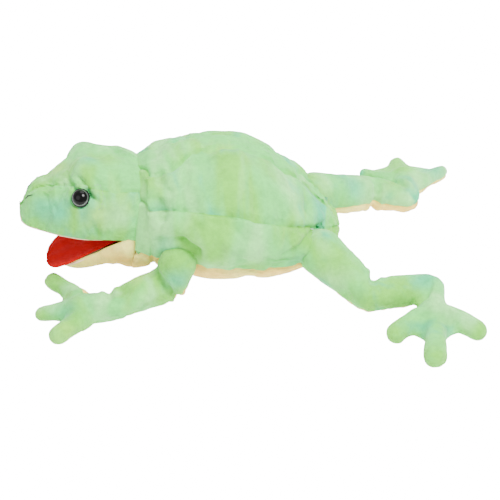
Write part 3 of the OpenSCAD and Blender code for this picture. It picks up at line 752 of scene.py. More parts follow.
head = {
    "length": 0.112, "halfWidth": 0.056, "height": 0.063, "palate": -0.0125,
    # place behind the snout, half width, top and middle as shares
    "rows": [
        [0.00, 0.20, 0.13, -0.10], [0.04, 0.36, 0.29, -0.09], [0.11, 0.50, 0.43, -0.07],
        [0.22, 0.64, 0.56, -0.05],
        [0.36, 0.79, 0.74, -0.03], [0.50, 0.91, 0.94, 0.00], [0.64, 0.97, 0.995, 0.03],
        [0.82, 1.00, 0.985, 0.05],
        [1.00, 0.975, 0.915, 0.06],
    ],
    "stations": 40, "between": [22, 8, 30, 8, 22],
    "seamPlaces": [0.0, 0.2, 0.4, 0.6, 0.8, 1.0],
    "cheekSeam": [100, 112, 128, 140, 142, 138],
    "lipAngle": 206,
}
eyePlaces = {
    "left_eye": np.array([-0.056, -0.0446, 0.0333]), "right_eye": np.array([-0.056, 0.0446, 0.0333]),
}


def headSection(row, degrees):
    middle = row[3] * head["height"]
    y, z = section(row[1] * head["halfWidth"], middle, row[2] * head["height"] - middle,
        middle - head["palate"],
        degrees, 2.3, 4)
    return np.stack([np.full(len(y), (row[0] - 1) * head["length"]), y, z], 1)


headRowsFine = smoothRows(head["rows"], 200)


def headPoint(share, angle):
    row = np.array([np.interp(share, headRowsFine[:, 0], headRowsFine[:, k]) for k in range(4)])
    return headSection(row, np.array([float(angle)]))[0]


def headPath(pairs):
    return np.array([headPoint(a, b) for a, b in pairs])


def headAngles(share):
    seam = np.interp(share, head["seamPlaces"], head["cheekSeam"])
    marks = [180 - head["lipAngle"], 180 - seam - 12, 180 - seam, seam, seam + 12, head["lipAngle"]]
    parts = [np.linspace(a, b, n, endpoint=False) for a, b, n in zip(marks[:-1], marks[1:], head["between"])]
    return np.r_[np.concatenate(parts), head["lipAngle"]]


def makeHeadGrid():
    rows = smoothRows(head["rows"], head["stations"])
    rings = [headSection(row, headAngles(row[0])) for row in rows]
    rear = rings[-1]
    for push, shrink in ((0.0012, 0.985), (0.0028, 0.94), (0.0040, 0.86)):
        ring = rear * np.array([1, shrink, shrink])
        ring[:, 0] = push
        rings.append(ring)
    snout = rings[0]
    middle = snout.mean(0)
    lead = [middle + (snout - middle) * s - np.array([0.0030 * (1 - s * s), 0, 0])
        for s in (0.04, 0.35, 0.65, 0.87)]
    return np.array(lead + rings)


headFolds = {
    "lidUpper": ([(0.443, 116), (0.50, 126), (0.556, 139), (0.61, 150), (0.664, 158)], 0.0062, 0.0026,
        0.0026),
    "lidLower": ([(0.40, 120), (0.43, 130), (0.47, 138), (0.53, 143), (0.60, 152)], 0.0034, 0.0024, 0.0012),
    "lidSecond": ([(0.47, 112), (0.56, 124), (0.64, 138)], 0.0030, 0.0026, 0.0014),
    "crown": ([(0.759, 70), (0.80, 84), (0.836, 98)], 0.0024, 0.0040, 0.0014),
    "temple": ([(0.72, 118), (0.78, 128), (0.80, 142)], 0.0020, 0.0045, 0.0012),
    "dart": ([(0.579, 167), (0.63, 177), (0.682, 187)], 0.0030, 0.0024, 0.0012),
    "jowl": ([(0.74, 176), (0.80, 168), (0.86, 158)], 0.0022, 0.0045, 0.0012),
    "snoutPull": ([(0.24, 150), (0.30, 158), (0.38, 160)], 0.0016, 0.0040, 0.0008),
}
headSwells = [
    # place, angle, height and radius of each swell
    (0.55, 112, 0.0062, 0.015), (0.50, 64, 0.0050, 0.016), (0.66, 95, -0.0040, 0.014),
    (0.40, 90, -0.0025, 0.013),
    (0.30, 165, 0.0022, 0.016), (0.30, 15, 0.0022, 0.016), (0.52, 172, 0.0022, 0.014),
    (0.52, 8, 0.0022, 0.014),
    (0.13, 90, 0.0016, 0.012),
]


def mirroredFolds(folds):
    both = dict(folds)
    for name, (pairs, depth, width, ridge) in folds.items():
        if name != "crown":
            both[name + "Far"] = ([(a, 180 - b) for a, b in pairs], depth * 0.9, width, ridge)
    return both


def headSkin():
    grid = makeHeadGrid()
    held = np.zeros(grid.shape[:2])
    marks = seamColumns(head["between"])
    held[:, [marks[2], marks[3]]] = 0.5
    held[:, :2] = held[:, -2:] = 1
    held[:1] = held[-4:] = 1
    grid = puffedGrid(grid, False, held, 1.8, 0.03, 0.004)
    grid = refined(grid, 2, False)
    for share, angle, height, radius in headSwells:
        points, normals = flattened(grid, False)
        grid = bumped(points, normals, headPoint(share, angle), height, radius).reshape(grid.shape)
    for path, depth, width, ridge in mirroredFolds(headFolds).values():
        points, normals = flattened(grid, False)
        grid = creased(points, normals, headPath(path), depth, width, ridge).reshape(grid.shape)
    points, normals = flattened(grid, False)
    for place in eyePlaces.values():
        gap = np.linalg.norm(points - place, axis=1)
        rim = np.exp(-((gap - 0.0125) / 0.004) ** 2)
        points = points + normals * (0.0018 * rim - 0.0040 * np.exp(-(gap / 0.0092) ** 4))[:, None]
    grid = points.reshape(grid.shape)
    for column in (marks[2] * 2, marks[3] * 2):
        points, normals = flattened(grid, False)
        gap = distanceTo(points, grid[:, column])[0]
        dip = np.exp(-(gap / 0.0016) ** 2) * 0.0012 + 0.0007 * np.exp(-(gap / 0.005) ** 2)
        grid = (points - normals * dip[:, None]).reshape(grid.shape)
    return puckered(grid, False, 0.0009, 190, 21), marks * 2


headGrid, headMarks = headSkin()
headWorld = inHead(headGrid.reshape(-1, 3)).reshape(headGrid.shape)
headNormals = gridNormals(headWorld, False).reshape(-1, 3)
spotsHead = [(tuple(inHead(headPoint(0.16, 155))), 0.024, "teal", 0.8),
    (tuple(inHead(headPoint(0.55, 125))), 0.013, "teal", 0.6),
    (tuple(inHead(headPoint(0.324, 162))), 0.020, "teal", 0.9),
    (tuple(inHead(headPoint(0.407, 152))), 0.014, "teal", 0.7),
    (tuple(inHead(headPoint(0.62, 165))), 0.020, "lime", 0.8),
    (tuple(inHead(headPoint(0.80, 165))), 0.020, "pale", 0.8)]
spotsCrown = [(tuple(inHead(headPoint(0.56, 110))), 0.015, "teal", 0.85),
    (tuple(inHead(headPoint(0.84, 88))), 0.015, "deep", 0.6),
    (tuple(inHead(headPoint(0.46, 62))), 0.014, "deep", 0.6),
    (tuple(inHead(headPoint(0.30, 85))), 0.018, "lime", 0.8),
    (tuple(inHead(headPoint(0.72, 100))), 0.020, "leaf", 0.8),
    (tuple(inHead(headPoint(0.50, 120))), 0.014, "pale", 0.8)]
headCloth = {
    "crown": velour("velour crown", "mint", "leaf", "lime", "pale", (1.0, 0.5, 0.5), (0.9, 0.4, 0.1),
        spotsCrown),
    "cheek": velour("velour cheek", "mint", "leaf", "pale", "teal", (1.0, 0.5, 0.5), (0.3, 0.8, 0.5),
        spotsHead),
}
headCuts = {
    "right_cheek_panel": (0, 2, "cheek"), "crown_panel": (2, 3, "crown"), "left_cheek_panel": (3, 5, "cheek"),
}
for name, (a, b, cloth) in headCuts.items():
    part = headWorld[:, headMarks[a]:headMarks[b] + 1]
    panel = newPiece(name.replace("panel", "cover"), part.reshape(-1, 3), gridFaces(*part.shape[:2], False),
        headCloth[cloth])
    sharedNormals(panel, headWorld.reshape(-1, 3), headNormals)
    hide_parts(name)
    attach(panel, "head")
print("head covers made")


# ---- chin, throat and mouth

jawPoint = neckPoint + np.array([-0.030, 0, -0.0195]) @ headPose.T
jawPose = headPose @ np.array(Matrix.Rotation(math.radians(-34), 3, "Y"))


def inJaw(points):
    return jawPoint + np.asarray(points) @ jawPose.T


chin = {
    # place behind the tip, half width and depth as shares
    "rows": [[1.00, 0.40, 0.22], [0.97, 0.56, 0.42], [0.90, 0.70, 0.62], [0.76, 0.84, 0.82],
        [0.52, 0.96, 0.97], [0.32, 1.00, 1.04],
    [0.16, 1.02, 1.20]],
    "length": 0.051, "halfWidth": 0.0415, "depth": 0.025, "rim": -0.0012,
    # place in front of the neck, half width, top edge and bottom of the throat
    "throat": [(-0.012, 0.0520, -0.0070, -0.0525), (-0.005, 0.0525, -0.0065, -0.0535),
        (-0.001, 0.0515, -0.0065, -0.0540),
    (0.0012, 0.0490, -0.0065, -0.0525), (0.0030, 0.0460, -0.0065, -0.0490)],
    "columns": 49,
}


def chinGrid():
    t = np.radians(np.linspace(180, 360, chin["columns"]))
    rings = []
    for share, half, drop in smoothRows([[-r[0], r[1], r[2]] for r in chin["rows"]], 14):
        y = half * chin["halfWidth"] * np.cos(t)
        z = chin["rim"] + drop * chin["depth"] * signedPower(np.sin(t), 0.85)
        rings.append(inJaw(np.stack([np.full(len(t), share * chin["length"]), y, z], 1)))
    nose = rings[0]
    middle = nose.mean(0) + np.array([0, 0, 0.002])
    lead = [middle + (nose - middle) * s - (1 - s) * 0.0022 * jawPose[:, 0] for s in (0.08, 0.45, 0.8)]
    for place, half, top, low in chin["throat"]:
        y = half * np.cos(t)
        z = top + (top - low) * signedPower(np.sin(t), 0.9)
        rings.append(inHead(np.stack([np.full(len(t), place), y, z], 1)))
    return np.array(lead + rings)


cream = torsoCloth["belly"]
grid = refined(chinGrid(), 3, False)
points, normals = flattened(grid, False)
for place, turn, depth, width in ((-0.020, -0.5, 0.0026, 0.0035), (-0.004, -0.2, 0.0026, 0.004),
        (-0.010, 0.6, 0.0022, 0.0040)):
    path = inHead([[place - 0.010 * math.cos(a), -0.046 * math.cos(a), -0.008 - 0.040 * math.sin(a)]
        for a in np.linspace(0.1, 1.5 + turn, 7)])
    points = creased(points, normals, path, depth, width, 0.0014)
points = points + normals * (0.0010 * wavy(points, 170, 51))[:, None]
grid = points.reshape(grid.shape)
chinNormals = gridNormals(grid, False).reshape(-1, 3)
split = int(grid.shape[0] * 0.84)
chinRim = grid[:int(grid.shape[0] * 0.62)]
for name, node, part in (("chin_cover", "chin_panel", grid[:split + 1]),
        ("throat_cover", "throat_panel", grid[split:])):
    piece = newPiece(name, part.reshape(-1, 3), gridFaces(*part.shape[:2], False), cream)
    sharedNormals(piece, points, chinNormals)
    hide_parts(node)
    if node == "chin_panel":
        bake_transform(piece)
    else:
        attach(piece, "head")


def tube(name, path, radius, material, closed=False, sides=12):
    # a round welt or cord along a path of points
    path = np.asarray(path, float)
    rings = []
    up = np.array([0, 0, 1.0])
    for i, p in enumerate(path):
        after = path[(i + 1) % len(path)] if closed or i + 1 < len(path) else p
        before = path[i - 1] if closed or i else p
        way = after - before
        way /= max(np.linalg.norm(way), 1e-9)
        side = np.cross(up, way)
        side /= max(np.linalg.norm(side), 1e-9)
        high = np.cross(way, side)
        size = radius * (1 if closed else min(1, 0.25 + 3.0 * min(i, len(path) - 1 - i) / len(path) * 4))
        rings.append([p + size * (side * math.cos(a) + high * math.sin(a))
            for a in np.linspace(0, 2 * math.pi, sides, endpoint=False)])
    ring = np.array(rings)
    if closed:
        ring = np.concatenate([ring, ring[:1]])
    return newPiece(name, ring.reshape(-1, 3), gridFaces(len(ring), sides, True), material)


def feltFinish(name, colour):
    return clothMaterial(name, colour, 900.0, 0.5, 0.9, 0.15)


redCloth = feltFinish("red mouth cloth", (176, 0, 0))
redShader = redCloth.node_tree.nodes["Principled BSDF"]
redShader.inputs["Sheen Weight"].default_value = 0.0
redShader.inputs["Specular IOR Level"].default_value = 0.1
peachCloth = feltFinish("lip edge cloth", (250, 214, 170))
boardFinish = feltFinish("mouth board", (196, 172, 132))


def upperLiningGrid():
    # from one lip over the roof of the mouth to the other, row by row
    rows = headGrid[:, [0, -1]]
    rows = rows[(rows[:, 0, 0] < -0.012)]
    u = np.linspace(0, 1, 41)
    rings = []
    for right, left in rows[::2]:
        line = right + (left - right) * u[:, None]
        inset = np.clip(np.minimum(u, 1 - u) / 0.10, 0, 1)
        ease = inset * inset * (3 - 2 * inset)
        roof = right[2] - 0.0006 + 0.0012 * np.cos((u - 0.5) * math.pi)
        deep = np.clip((np.linalg.norm(right - left) - 0.006) / 0.03, 0, 1)
        line[:, 2] += (roof - line[:, 2]) * ease * deep
        rings.append(line)
    return np.array(rings)


grid = upperLiningGrid()
upperLining = newPiece("upper_mouth_lining_cloth", inHead(grid.reshape(-1, 3)),
    gridFaces(*grid.shape[:2], False), redCloth)
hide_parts("upper_mouth_lining")
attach(upperLining, "head")
lip = headGrid[headGrid[:, 0, 0] < -0.029]
lipPath = np.concatenate([lip[::-1, 0], lip[:, -1]])
lipPath[:, 2] -= 0.0004
upperWelt = tube("upper_lip_welt", inHead(lipPath[::2] * np.array([1, 0.992, 1])), 0.0008, peachCloth)
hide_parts("upper_mouth_lining")
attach(upperWelt, "head")
plate = upperLiningGrid()[2:, 3:-3] + np.array([0, 0, 0.0018])
upperBoard = newPiece("upper_mouth_card", inHead(plate.reshape(-1, 3)), gridFaces(*plate.shape[:2], False),
    boardFinish)
withModifier(upperBoard, "SOLIDIFY", thickness=0.0015, offset=0.0)
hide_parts("upper_mouth_board")
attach(upperBoard, "head")

tongue = {"rows": [(0.0150, 0.0440), (0.0030, 0.0425), (-0.012, 0.0408), (-0.030, 0.0398), (-0.045, 0.0375),
    (-0.056, 0.0320), (-0.0635, 0.0215), (-0.0665, 0.0085)],
          "dish": 0.0008}


def lowerLiningGrid():
    rings = []
    for x, half in smoothRows([(a, b, 0) for a, b in tongue["rows"]], 40)[:, :2]:
        v = np.linspace(-1, 1, 33)
        z = 0.0004 - tongue["dish"] * (1 - v ** 4) * min(1, half / 0.03) + 0.0004 * np.sin(9 * v + 60 * x)
        rings.append(np.stack([np.full(33, x), v * half, z], 1))
    return np.array(rings)


grid = lowerLiningGrid()
lowerLining = newPiece("lower_mouth_lining_cloth", inJaw(grid.reshape(-1, 3)),
    gridFaces(*grid.shape[:2], False), redCloth)
withModifier(lowerLining, "SOLIDIFY", thickness=0.0012, offset=-0.2)
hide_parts("lower_mouth_lining")
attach(lowerLining, "jaw")
rimPath = chinRim[5:, [0, -1]]
rimPath = np.concatenate([rimPath[::-1, 0], rimPath[:, 1]])
lowerWelt = tube("lower_lip_welt", rimPath[::2] - 0.0022 * jawPose[:, 2], 0.0013, peachCloth)
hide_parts("lower_mouth_lining")
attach(lowerWelt, "jaw")
lowerBoard = frame["nodes"]["lower_mouth_board"]
lowerBoard.data.materials.clear()
lowerBoard.data.materials.append(boardFinish)
print("chin, throat and mouth made")


# ---- limbs: one soft skin for each, from the root inside the torso to the toes

def limbPoint(name):
    return np.array(joints[name]["pos_m"])


limbs = {
    "left_arm": {
        "parts": ("upper_arm", "forearm", "hand"), "joints": ("shoulder_swing", "elbow_bend", "wrist_bend"),
        "radii": (0.0190, 0.0188, 0.0158), "root": (-0.1166, -0.0908), "side": "left",
        "knuckles": [(-3.4, 15.8), (-10.4, -0.2), (0.6, -13.2)],
        "tips": [(-31.4, 44.8), (-38.4, -2.2), (-21.4, -33.2)],
        "toes": (9.6, 9.2, 11.0), "seamLevels": (0.80, 0.90, 0.62, 3.6), "roll": 1.6,
    },
    "right_arm": {
        "parts": ("upper_arm", "forearm", "hand"), "joints": ("shoulder_swing", "elbow_bend", "wrist_bend"),
        "radii": (0.0180, 0.0172, 0.0138), "root": (-0.1044, 0.1118), "side": "right",
        "knuckles": [(3.4, -15.8), (-1.6, 0.2), (5.4, 13.2)],
        "tips": [(-25.6, -29.8), (-35.6, 7.2), (-15.6, 38.2)],
        "toes": (9.6, 9.6, 10.0), "seamLevels": (0.6, 0.6, 0.6, 5.0),
    },
    "left_leg": {
        "parts": ("thigh", "shin", "foot"), "joints": ("hip_swing", "knee_bend", "ankle_bend"),
        "radii": (0.0245, 0.0180, 0.0150), "root": (0.2303, -0.1175), "side": "left",
        "knuckles": [(-14.3, -2.5), (-0.3, -12.5), (14.7, -1.5)],
        "tips": [(-39.3, -21.5), (-6.3, -55.5), (38.7, -22.5)],
        "toes": (11.0, 12.6, 11.4), "seamLevels": (0.50, 0.52, 0.50, 4.2), "roll": 0.25, "webs": (0.25, 0.38),
    },
    "right_leg": {
        "parts": ("thigh", "shin", "foot"), "joints": ("hip_swing", "knee_bend", "ankle_bend"),
        "radii": (0.0240, 0.0175, 0.0150), "root": (0.2269, 0.0915), "side": "right",
        "knuckles": [(-12.9, -1.5), (0.1, 4.5), (15.1, -4.5)],
        "tips": [(-37.9, 17.5), (-1.9, 31.5), (46.1, 18.5)],
        "toes": (9.0, 10.0, 8.5), "seamLevels": (0.25, 0.05, 0.05, 8.0), "webs": (0.25, 0.45, 0.65, 0.82),
    },
}
limbShape = {"creases": (0.0056, 0.0036), "voxel": 0.0032, "floor": 0.0012, "palm": 0.0118, "web": 0.0075}


def capsule(bm, a, b, ra, rb, flat=1.0):
    # a tapered round-ended bolster between two points
    a, b = Vector(a), Vector(b)
    way = b - a
    turn = way.to_track_quat("Z", "Y").to_matrix().to_4x4()
    length = max(way.length, 1e-5)
    made = bmesh.ops.create_uvsphere(bm, u_segments=28, v_segments=16, radius=1.0)
    for vertex in made["verts"]:
        high = vertex.co.z > 0
        r = rb if high else ra
        p = Vector((vertex.co.x * r, vertex.co.y * r * flat, vertex.co.z * r + (length if high else 0)))
        vertex.co = turn.to_3x3() @ p + a


def limbFrame(spec):
    side = spec["side"]
    path = [limbPoint(side + "_" + j) for j in spec["joints"]]
    return path, np.array([spec["root"][0], spec["root"][1], path[2][2] * 0.9])


def meshArrays(mesh):
    points = np.zeros(len(mesh.vertices) * 3)
    mesh.vertices.foreach_get("co", points)
    normals = np.zeros(len(mesh.vertices) * 3)
    mesh.vertices.foreach_get("normal", normals)
    return points.reshape(-1, 3), normals.reshape(-1, 3)


def limbSkin(name, spec):
    path, root = limbFrame(spec)
    r0, r1, r2 = spec["radii"]
    bm = bmesh.new()
    capsule(bm, path[0], path[1], r0, r1)
    capsule(bm, path[1], path[2], r1, r2)
    capsule(bm, path[2], root, r2, r2 * 0.95)
    palm = limbShape["palm"]
    knuckles = [np.array([root[0] + x * mm, root[1] + y * mm, palm + 0.001]) for x, y in spec["knuckles"]]
    tips = [np.array([root[0] + x * mm, root[1] + y * mm, r * mm + 0.001]) for (x, y),
        r in zip(spec["tips"], spec["toes"])]
    for knuckle, tip, toe in zip(knuckles, tips, spec["toes"]):
        capsule(bm, root, knuckle, r2 * 0.85, palm)
        capsule(bm, knuckle, knuckle + (tip - knuckle) * 0.55, palm * 0.95, toe * mm * 0.95)
        capsule(bm, knuckle + (tip - knuckle) * 0.45, tip, toe * mm * 0.92, toe * mm)
    for a, b in ((0, 1), (1, 2)):
        capsule(bm, knuckles[a], knuckles[b], palm, palm)
        for reach in spec.get("webs", (0.30,)):
            low = knuckles[a] + (tips[a] - knuckles[a]) * reach
            high = knuckles[b] + (tips[b] - knuckles[b]) * reach
            low[2] = high[2] = 0.0092
            capsule(bm, low, high, limbShape["web"], limbShape["web"])
    mesh = bpy.data.meshes.new(name)
    bm.to_mesh(mesh)
    bm.free()
    skin = bpy.data.objects.new(name, mesh)
    scene.collection.objects.link(skin)
    withModifier(skin, "REMESH", mode="VOXEL", voxel_size=limbShape["voxel"])
    withModifier(skin, "SMOOTH", iterations=8, factor=0.5)
    points = meshArrays(skin.data)[0]
    faces = [tuple(p.vertices) for p in skin.data.polygons]
    held = np.zeros(len(points))
    held[np.linalg.norm(points - path[0], axis=1) < r0 * 1.3] = 1
    seam = seamHeight(points, path, root, spec)
    held[np.abs(points[:, 2] - seam) < 0.0016] = 0.5
    held[points[:, 2] < 0.0022] = 0.8
    points = puffed(points, faces, held, 1.6, 0.04, 0.004, 12)
    skin.data.vertices.foreach_set("co", points.reshape(-1))
    skin.data.update()
    withModifier(skin, "SUBSURF", levels=1, render_levels=1)
    return skin, path, root, knuckles


def seamHeight(points, path, root, spec):
    # height of the side seam at each point: a little below the middle of the limb there
    stops = np.array([path[0], path[1], path[2], root])
    r0, r1, r2 = spec["radii"]
    drops = spec["seamLevels"]
    pawLevel = drops[3] * mm
    levels = np.array([path[0][2] - r0 * drops[0], path[1][2] - r1 * drops[1], path[2][2] - r2 * drops[2],
        pawLevel])
    best, height, roll = np.full(len(points), 1e9), np.zeros(len(points)), spec.get("roll", 0.0)
    for a, b, la, lb in zip(stops[:-1], stops[1:], levels[:-1], levels[1:]):
        way = (b - a)[:2]
        t = np.clip((points[:, :2] - a[:2]) @ way / max(way @ way, 1e-9), 0, 1)
        gap = np.linalg.norm(points[:, :2] - a[:2] - t[:, None] * way, axis=1)
        nearer = gap < best
        lateral = points[:, 1] - a[1] - way[1] * t
        best[nearer], height[nearer] = gap[nearer], (la + (lb - la) * t + roll * lateral)[nearer]
    beyond = (points[:, :2] - root[:2]) @ (root - path[2])[:2] > 0
    height[beyond] = pawLevel
    return height


def shapedLimb(name, spec):
    skin, path, root, knuckles = limbSkin(name, spec)
    mesh = skin.data
    for index, (joint, radius) in enumerate(((path[1], spec["radii"][1]), (path[2], spec["radii"][2]))):
        points, normals = meshArrays(mesh)
        before = path[index]
        after = path[2] if index == 0 else root
        along = (after - before) / np.linalg.norm(after - before)
        across = np.cross(along, [0, 0, 1])
        side = np.sign(np.cross((joint - before)[:2], (after - joint)[:2])) or 1.0
        gap = (points - joint) @ along
        inner = np.clip(0.5 + side * -1 * ((points - joint) @ across) / radius, 0.15, 1)
        near = np.linalg.norm(points - joint, axis=1) < radius * 1.9
        deep = limbShape["creases"][index]
        dip = deep * np.exp(-(gap / 0.0036) ** 2)
        dip += 0.15 * deep * np.exp(-((np.abs(gap) - 0.0105) / 0.0026) ** 2)
        dip -= 0.0006 * np.exp(-((np.abs(gap) - 0.0065) / 0.003) ** 2)
        points = points - normals * (dip * inner * near)[:, None]
        mesh.vertices.foreach_set("co", points.reshape(-1))
        mesh.update()
    points, normals = meshArrays(mesh)
    seam = seamHeight(points, path, root, spec)
    gap = points[:, 2] - seam
    pull = 1 + 0.4 * wavy(points, 480, 77)
    dip = (0.0013 * np.exp(-(gap / 0.0016) ** 2) + 0.0007 * np.exp(-(gap / 0.005) ** 2)) * pull
    onSide = np.clip(1.2 - np.abs(normals[:, 2]), 0, 1)
    points = points - normals * (dip * onSide)[:, None]
    for number, knuckle in enumerate(knuckles[:-1]):
        middle = (knuckle + knuckles[number + 1]) / 2
        gap = np.linalg.norm(points[:, :2] - middle[:2], axis=1)
        points[:, 2] -= 0.0012 * np.exp(-(gap / 0.006) ** 2) * (points[:, 2] > 0.008)
    points = points + normals * (0.0010 * wavy(points, 170, 31) * wavy(points, 90, 32))[:, None]
    points[:, 2] = np.maximum(points[:, 2], limbShape["floor"])
    mesh.vertices.foreach_set("co", points.reshape(-1))
    mesh.update()
    return skin, path, root


def slicedBy(points, faces, value):
    # cuts a mesh where a value given at each point passes zero; returns both sides
    points = [np.array(p) for p in points]
    value = list(value)
    made = {}

    def between(a, b):
        key = (min(a, b), max(a, b))
        if key not in made:
            t = value[a] / (value[a] - value[b])
            made[key] = len(points)
            points.append(points[a] + (points[b] - points[a]) * t)
            value.append(0.0)
        return made[key]

    above, below = [], []
    for face in faces:
        signs = [value[i] >= 0 for i in face]
        if all(signs):
            above.append(face)
        elif not any(signs):
            below.append(face)
        else:
            for keep, side in ((True, above), (False, below)):
                loop = []
                for i, a in enumerate(face):
                    b = face[(i + 1) % len(face)]
                    if signs[i] == keep:
                        loop.append(a)
                    if signs[i] != signs[(i + 1) % len(face)]:
                        loop.append(between(a, b))
                if len(loop) > 2:
                    side.append(tuple(loop))
    return np.array(points), above, below


def compact(points, faces):
    used = sorted({i for face in faces for i in face})
    index = {old: new for new, old in enumerate(used)}
    return points[used], [tuple(index[i] for i in face) for face in faces], used


def makeLimb(name, spec, cloths):
    skin, path, root = shapedLimb(name, spec)
    side = spec["side"]
    points, normals = meshArrays(skin.data)
    faces = [tuple(p.vertices) for p in skin.data.polygons]
    bpy.data.objects.remove(skin)
    middles = ((path[0] + path[1]) / 2, (path[1] + path[2]) / 2)
    ways = (path[1] - path[0], path[2] - path[1])
    cuts = (((path[1] - ways[0] * 0.15, -ways[0]),),
            ((path[1] + ways[1] * 0.12, ways[1]), (path[2] - ways[1] * 0.12, -ways[1])),
            ((path[2] + (root - path[2]) * 0.35, root - path[2]),))
    for stretch, cut in zip(spec["parts"], cuts):
        body = side + "_" + stretch
        waddingChunk(body + "_wadding", body + "_filling", points, normals, faces, cut, body)
    # the seam first, then across the middle of each of the two stretches
    both = np.concatenate([points, normals], 1)
    both, top, under = slicedBy(both, faces, points[:, 2] - seamHeight(points, path, root, spec))
    for label, part in (("top", top), ("under", under)):
        rest, restFaces = both, part
        chunks = []
        for middle, way in zip(middles, ways):
            value = (rest[:, :3] - middle) @ way
            rest, after, before = slicedBy(rest, restFaces, value)
            chunks.append((rest, before))
            restFaces = after
        chunks.append((rest, restFaces))
        for number, ((chunkPoints, chunkFaces), stretch) in enumerate(zip(chunks, spec["parts"])):
            kept, keptFaces = compact(chunkPoints, chunkFaces)[:2]
            piece = newPiece(side + "_" + stretch + "_" + label + "_cover", kept[:, :3], keptFaces,
                cloths[label])
            shading = kept[:, 3:] / np.maximum(np.linalg.norm(kept[:, 3:], axis=1, keepdims=True), 1e-9)
            piece.data.normals_split_custom_set_from_vertices([tuple(n) for n in shading])
            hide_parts(side + "_" + stretch + "_" + label)
            if number == 0:
                way = path[1] - path[0]
            elif number == 1:
                way = path[2] - path[0]
            else:
                way = root - path[1]
            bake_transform(piece)


def waddingChunk(name, node, points, normals, faces, cuts, body):
    # a shrunken copy of the skin between two cuts across the limb, its ends closed
    rest = points - normals * (0.0030 + 0.0008 * wavy(points, 300, 81))[:, None]
    rest[:, 2] = np.maximum(rest[:, 2], 0.0042)
    for middle, way in cuts:
        rest, faces = slicedBy(rest, faces, (rest - middle) @ way)[:2]
    kept, keptFaces = compact(rest, faces)[:2]
    bm = bmesh.new()
    vertices = [bm.verts.new(p) for p in kept]
    for face in keptFaces:
        bm.faces.new([vertices[i] for i in face])
    bmesh.ops.holes_fill(bm, edges=[e for e in bm.edges if e.is_boundary], sides=0)
    bmesh.ops.triangulate(bm, faces=[f for f in bm.faces if len(f.verts) > 4])
    mesh = bpy.data.meshes.new(name)
    bm.to_mesh(mesh)
    bm.free()
    for polygon in mesh.polygons:
        polygon.use_smooth = True
    piece = bpy.data.objects.new(name, mesh)
    scene.collection.objects.link(piece)
    piece.data.materials.append(wadding)
    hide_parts(node)
    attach(piece, body)


wadding = clothMaterial("polyester wadding", (240, 240, 236), 260.0, 0.9, 0.95, 0.3)
limbCloths = {
    "left_arm": {"top": velour("velour left arm", "leaf", "mint", "lime", "pale", (0.8, 0.8, 0.5),
        (0.2, 0.9, 0.3),
    [((-0.022, -0.088, 0.048), 0.022, "teal", 0.85),
    ((-0.135, -0.100, 0.020), 0.022, "teal", 0.6),
    ((-0.060, -0.085, 0.030), 0.022, "leaf", 0.7)]), "under": cream},
    "right_arm": {"top": velour("velour right arm", "mint", "leaf", "lime", "pale", (0.8, 0.8, 0.5),
        (0.5, 0.3, 0.6)), "under": cream},
    "left_leg": {"top": velour("velour left leg", "mint", "leaf", "pale", "teal", (0.8, 0.8, 0.5),
        (0.1, 0.6, 0.9),
    [((0.135, -0.075, 0.05), 0.030, "leaf", 0.9),
    ((0.222, -0.084, 0.030), 0.022, "teal", 0.85),
    ((0.232, -0.135, 0.022), 0.024, "deep", 0.6)]), "under": cream},
    "right_leg": {"top": velour("velour right leg", "mint", "pale", "leaf", "teal", (0.8, 0.8, 0.5),
        (0.6, 0.1, 0.2),
    [((0.168, 0.052, 0.040), 0.024, "teal", 0.8),
    ((0.262, 0.105, 0.020), 0.022, "teal", 0.8),
    ((0.215, 0.065, 0.034), 0.024, "leaf", 0.8)]), "under": cream},
}
for name, spec in limbs.items():
    makeLimb(name, spec, limbCloths[name])
print("limbs made")


# ---- eyes

eyeShape = {
    # radius and height of the turned profile, in millimetres, from the rim in
    "profile": [(8.6, -3.6), (9.3, -0.4), (9.25, 0.6), (8.9, 1.25), (8.3, 1.75), (7.4, 2.9), (6.3, 4.1),
        (5.0, 5.1), (3.4, 5.9),
    (1.7, 6.35), (0.02, 6.5)],
    "segments": 72,
}


def eyeMaterial(name, colour, roughness, metallic, coat):
    material = plainMaterial(name, linear(colour), roughness)
    shader = material.node_tree.nodes["Principled BSDF"]
    shader.inputs["Metallic"].default_value = metallic
    shader.inputs["Coat Weight"].default_value = coat
    shader.inputs["Coat Roughness"].default_value = 0.04
    shader.inputs["Specular IOR Level"].default_value = 0.14
    return material


def turnedPiece(name, profile, place, way, material):
    t = np.linspace(0, 2 * math.pi, eyeShape["segments"], endpoint=False)
    ring = np.array([[(r * mm * math.cos(a), r * mm * math.sin(a), z * mm) for a in t] for r, z in profile])
    turn = np.array(Vector(way).to_track_quat("Z", "Y").to_matrix())
    points = ring.reshape(-1, 3) @ turn.T + place
    rows, columns = ring.shape[:2]
    return newPiece(name, points, gridFaces(rows, columns, True), material)


def eyeProfile(first, last, lift):
    fine = smoothRows([(r, z, 0) for r, z in eyeShape["profile"]], 60)[:, :2]
    part = fine[(fine[:, 0] <= first) & (fine[:, 0] >= last)]
    return [(r, z + lift) for r, z in part]


pupil = eyeMaterial("black eye", (6, 6, 6), 0.06, 0.0, 0.0)
ringTone = eyeMaterial("silvered ring", (84, 90, 86), 0.3, 0.7, 0.0)
eyeBack = eyeMaterial("eye rim", (14, 16, 15), 0.25, 0.0, 0.0)
for name, place in eyePlaces.items():
    outward = np.array([-0.30, 0.80 * math.copysign(1, place[1]), 0.52])
    outward /= np.linalg.norm(outward)
    at = inHead(place + outward * 0.0034)
    way = outward @ headPose.T
    for suffix, first, last, lift, finish in (
            ("rim", 9.31, 8.15, 0.0, eyeBack), ("ring", 8.3, 7.15, 0.05, ringTone),
            ("dome", 7.3, 0.0, 0.0, pupil)):
        part = turnedPiece(name + "_" + suffix, eyeProfile(first, last, lift), at, way, finish)
        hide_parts(name)
        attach(part, "head")
print("eyes made")


